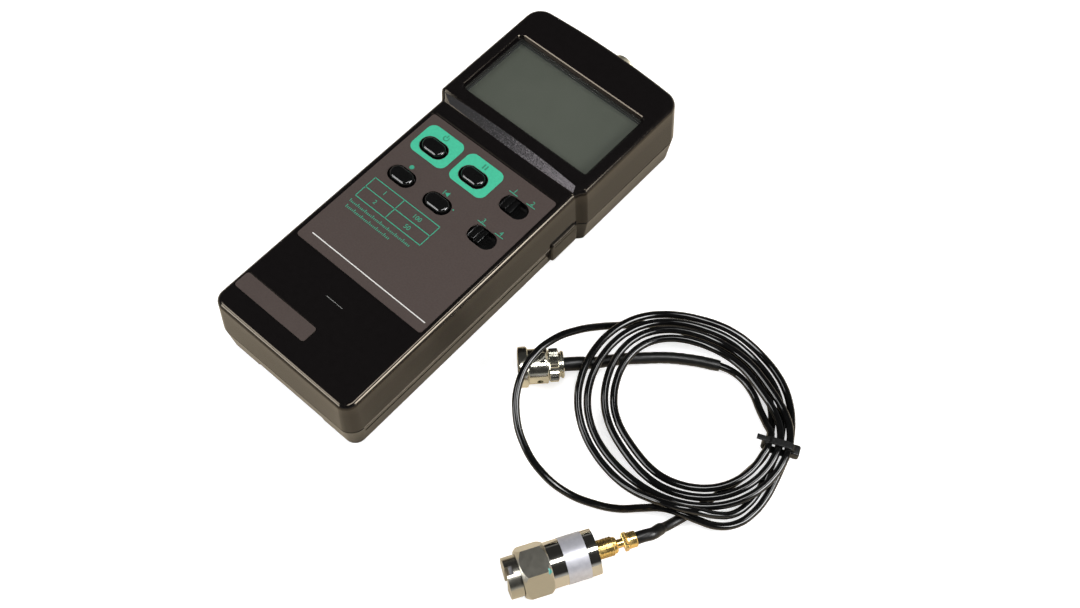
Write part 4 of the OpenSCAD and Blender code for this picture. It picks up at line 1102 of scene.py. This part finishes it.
def add_knurled_nut():
    """Nut with a diamond knurl of small pyramids between two plain rims."""
    start, end = nut_low + nut_rim, nut_high - nut_groove
    rows = [(nut_r - 0.6, nut_low), (nut_r - 0.2, nut_low + 0.35)]
    rows += [
        (nut_r, start + (end - start) * k / knurl_rings, knurl_d, k) for k in range(knurl_rings + 1)
    ]
    rows += [(nut_r - 0.45, end + 0.3), (nut_r - 0.45, nut_high - 0.5), (nut_r - 0.9, nut_high)]
    nut = along(knurled("nut", knurl_points, rows, 12), sensor_at, sensor_turn)
    finish(nut, "diamond_knurled_nut", "lead_nut", "gold", "knurled_nut")


collar_low, collar_high, collar_r = 40.05, 41.55, 3.25
neck_r, ferrule_r, collar_edge = 1.5, 2.75, 0.25


def add_ferrule():
    """Crimp ferrule of the lead: thin neck, a collar with flats and a plain barrel."""
    neck = turned_solid([(neck_r, nut_high - 1.0), (neck_r, collar_low + 0.3)], 32)
    collar = turned_solid([
        (collar_r - collar_edge, collar_low), (collar_r, collar_low + collar_edge),
        (collar_r, collar_high - collar_edge), (collar_r - collar_edge, collar_high)
    ], 6)
    barrel = turned_solid([
        (ferrule_r - 0.3, collar_high - 0.2), (ferrule_r, collar_high + 0.2),
        (ferrule_r, ferrule_top - 0.3), (ferrule_r - 0.25, ferrule_top)
    ], 36)
    ferrule = along(smooth(join(neck, collar, barrel), 30), sensor_at, sensor_turn)
    finish(ferrule, "crimp_ferrule", "sensor_lead", "gold", "lead_ferrule")


ring_r, ring_body_r, ring_l, ring_bore = 7.25, 6.25, 10.4, 5.2
ring_profile = [
    (6.55, 0), (6.95, 0.12), (7.2, 0.4), (ring_r, 0.8), (ring_r, 2.9), (7.1, 3.2), (6.75, 3.4),
    (6.35, 3.55), (ring_body_r, 3.8), (ring_body_r, 9.5), (6.35, 9.75), (6.35, 10.15), (6.1, ring_l)
]
ear_w, ear_r, ear_low, ear_high = 4.0, 6.9, 7.4, 10.0
ear_root, ear_edge, ear_corner = 4.0, 0.35, 0.7
cam_r = 1.1
knurl_low, knurl_high, clamp_r = 10.7, 14.3, 5.95
clamp_neck_r, clamp_ring_r, clamp_end = 4.3, 4.85, 16.0
teeth, tooth_d = 32, 0.4


def add_plug_ring():
    """Coupling ring: a broad rolled rim, two ears over the cam track, and the cams' round ends."""
    ring = turned_solid(ring_profile, 64)
    ears = [
        loft("ear", [
            [
                (side * r, y, z) for y, z in
                rounded(ear_w - i, ear_high - ear_low - i, ear_corner, 0, (ear_low + ear_high) / 2)
            ]
            for r, i in ((ear_root, 0), (ear_r - ear_edge, 0), (ear_r, 2 * ear_edge))
        ])
        for side in (-1, 1)
    ]
    cut(ring, *ears, operation="UNION")
    bore = turned_solid([(ring_bore + 0.9, -0.1), (ring_bore, 0.9), (ring_bore, ring_l + 1)], 64)
    cams = [
        loft("cutter", [[(x, side * y, z + ear_low) for x, z in circle(cam_r, 24)] for y in (4, 9)])
        for side in (-1, 1)
    ]
    cut(ring, bore, *cams)
    ring = along(smooth(ring, 32), plug_at, plug_turn)
    return finish(ring, "coupling_ring", "plug_collar", "nickel", "plug_ring")


def add_plug_clamp():
    """Clamp nut with straight knurling, a groove and its end ring."""
    rows = [
        (clamp_r - 0.5, knurl_low), (clamp_r - 0.35, knurl_low + 0.3),
        (clamp_r, knurl_low + 0.35, tooth_d), (clamp_r, knurl_high - 0.35, tooth_d),
        (clamp_r - 0.3, knurl_high - 0.3), (clamp_r - 0.8, knurl_high),
        (clamp_neck_r, knurl_high), (clamp_neck_r, knurl_high + 0.6),
        (clamp_ring_r - 0.2, knurl_high + 0.65), (clamp_ring_r, knurl_high + 0.85),
        (clamp_ring_r, clamp_end - 0.25), (clamp_ring_r - 0.25, clamp_end)
    ]
    clamp = along(knurled("clamp", 2 * teeth, rows, 10), plug_at, plug_turn)
    return finish(clamp, "knurled_clamp", "sensor_lead", "nickel", "plug_clamp")


# Tie round the coil

bundle_w, bundle_h = 10.035, 6.35
tie_w, tie_t, tie_round = 2.5, 0.9, 2.6
tie_middle_r, tie_middle_h = inner_radii[0] + 0.95 * lane_step, 4.175
tie_head_w, tie_head_l, tie_head_r = 3.0, 4.0, 1.0
tie_head_rings = [(0.5, -2.0), (0.15, -1.8), (0, -1.4), (0, 1.4), (0.15, 1.8), (0.5, 2.0)]
tail_w, tail_out, tail_in = 1.9, 2.9, 1.5


def add_tie():
    """Cable tie: a band round the strands, its head outside the coil and its cut tail inside."""
    outer = rounded(bundle_w + 2 * tie_t, bundle_h + 2 * tie_t, tie_round + tie_t, 0, 0, 8)
    inner = rounded(bundle_w, bundle_h, tie_round, 0, 0, 8)
    band = soften(cut(prism(outer, -tie_w / 2, tie_w / 2), prism(inner, -tie_w, tie_w)), 0.2, 3)
    head_x = bundle_w / 2 + tie_t
    head = loft("head", [
        at(rounded(tie_head_w - 2 * i, tie_head_l - 2 * i, tie_head_r - i, head_x, 0), z)
        for i, z in tie_head_rings
    ])
    tail_y = bundle_h / 2 + tie_t / 2
    tail = loft("tail", [
        [(x, tail_y + y, z) for y, z in rounded(tie_t, tail_w, 0.3, 0, 0, 4)]
        for x in (-bundle_w / 2 - tail_out, -bundle_w / 2 + tail_in)
    ])
    pieces = join(band, smooth(head, 50), smooth(tail, 40))
    a = radians(coil_turn)
    centre = coil_at + tie_middle_r * level(a) + Vector((0, 0, tie_middle_h))
    place(pieces, centre, Matrix.Rotation(a, 4, "Z") @ quarter_turn("X"))
    return finish(pieces, "tie", "sensor_lead", "tie_black", "cable_tie")


# Dab of paint on the hexagon's corner

dab_angle, dab_r, dab_z = radians(60), 8.54, 13.5
dab_w, dab_l, dab_slope = 0.95, 0.8, (1.7, 1.48)
dab_rings = [(-0.5, 1.0), (0.03, 1.0), (0.12, 0.75), (0.15, 0.3)]


def add_dab():
    angles = [2 * pi * k / 20 for k in range(20)]
    reaches = [1 + 0.2 * sin(3 * a + 1) + 0.12 * sin(5 * a) for a in angles]
    edge = [(dab_w * r * cos(a), dab_l * r * sin(a)) for a, r in zip(angles, reaches)]
    rings = [[(share * x, share * y, lift) for x, y in edge] for lift, share in dab_rings]
    dab = smooth(loft("dab", rings), 60)
    out = cos(dab_angle) * level(sensor_turn - pi / 2) + Vector((0, 0, sin(dab_angle)))
    normal = (dab_slope[0] * out + dab_slope[1] * sensor_dir).normalized()
    tangent = normal.cross(sensor_dir).normalized()
    turn = Matrix((tangent, normal.cross(tangent), normal)).transposed().to_4x4()
    place(dab, sensor_at + dab_z * sensor_dir + dab_r * out, turn)
    paint = plastic("paint_teal", (0.05, 0.36, 0.30), 0.35, 1.2, 1.5, 0.02)
    finish(dab, "paint_dab", "sensor_lead", "nickel", material=paint)


front_case()
rear_case()
add_keys()
add_print()
add_trim()
add_cover()
add_knurled_nut()
add_ferrule()
coupling_ring = add_plug_ring()
clamp = add_plug_clamp()
tie = add_tie()
add_dab()
dress_nodes()


# Light, floor and background

floor_glow, mirrored_glow = 0.66, 0.1
floor_color, mirrored_floor, white = (0.8, 0.8, 0.8), (0.86, 0.73, 0.54), (1.0, 1.0, 1.0)
floor_l = 6
horizon, ceiling_dark, ceiling_from, ceiling_to = 0.85, 0.045, 0.05, 0.3
even_light = 0.42


def add_floor():
    """Pale floor: white to the camera, with soft shadows, and warmer and dimmer in reflections."""
    bpy.ops.mesh.primitive_plane_add(size=floor_l, location=(0, 0, -0.2 * MM))
    floor = bpy.context.object
    floor.name = "floor"
    material = shiny("floor_white", floor_color, 0.9)
    path = add(material, "LightPath").outputs
    seen = calculate(material, "MAXIMUM", path["Is Camera Ray"], path["Is Transmission Ray"])
    mirrored = path["Is Glossy Ray"]
    tint(material, mirrored, floor_color, mirrored_floor)
    tint(material, mirrored, white, mirrored_floor, "Emission Color")
    glow = calculate(material, "MULTIPLY", seen, floor_glow)
    faint = calculate(material, "MULTIPLY", mirrored, mirrored_glow)
    drive(material, "Emission Strength", calculate(material, "ADD", glow, faint))
    coat(floor, material)


def add_world():
    """Even light from all round. The camera sees white, mirrors a dark ceiling over a pale horizon."""
    world = bpy.data.worlds.new("studio")
    bpy.context.scene.world = world
    world.use_nodes = True
    world.node_tree.nodes.clear()
    height = add(world, "SeparateXYZ", Vector=add(world, "TexCoord").outputs["Generated"]).outputs["Z"]
    ceiling = between(world, height, horizon, ceiling_dark, ceiling_from, ceiling_to)
    path = add(world, "LightPath").outputs
    mirrored = add(world, "Mix", Factor=path["Is Glossy Ray"], A=even_light, B=ceiling).outputs[0]
    seen = add(world, "Mix", Factor=path["Is Camera Ray"], A=mirrored, B=1.0).outputs[0]
    add(world, "OutputWorld", Surface=add(world, "Background", Strength=seen).outputs[0])


lamp_aim = Vector((0.04, 0, 0.01))


def add_lamp(name, azimuth, elevation, distance, size, power, lit=True):
    """Soft lamp that looks at the object, from -Y at azimuth 0. Unlit, it shows only in glossy faces."""
    az, el = radians(azimuth), radians(elevation)
    way = Vector((sin(az) * cos(el), -cos(az) * cos(el), sin(el)))
    lamp = linked(name, bpy.data.lights.new(name, "AREA"))
    lamp.data.shape = "RECTANGLE"
    lamp.data.size, lamp.data.size_y = size
    lamp.data.energy = power
    lamp.visible_diffuse = lit
    turn = way.to_track_quat("Z", "Y").to_matrix().to_4x4()
    lamp.matrix_world = Matrix.Translation(lamp_aim + way * distance) @ turn


add_floor()
add_world()
add_lamp("lamp_right", 112, 38, 0.9, (0.36, 0.2), 3.4)
add_lamp("lamp_front", -45, 48, 1.0, (0.45, 0.25), 3.6)
add_lamp("lamp_top", 90, 76, 0.9, (0.6, 0.06), 1.6)
add_lamp("reflector_right", 107, 31, 0.95, (0.38, 0.42), 8, lit=False)
add_lamp("reflector_front", -24, 25, 1.05, (0.6, 0.32), 8, lit=False)
add_lamp("reflector_top", 90, 76, 0.95, (0.7, 0.2), 5, lit=False)
bpy.context.scene.view_settings.view_transform = "Standard"
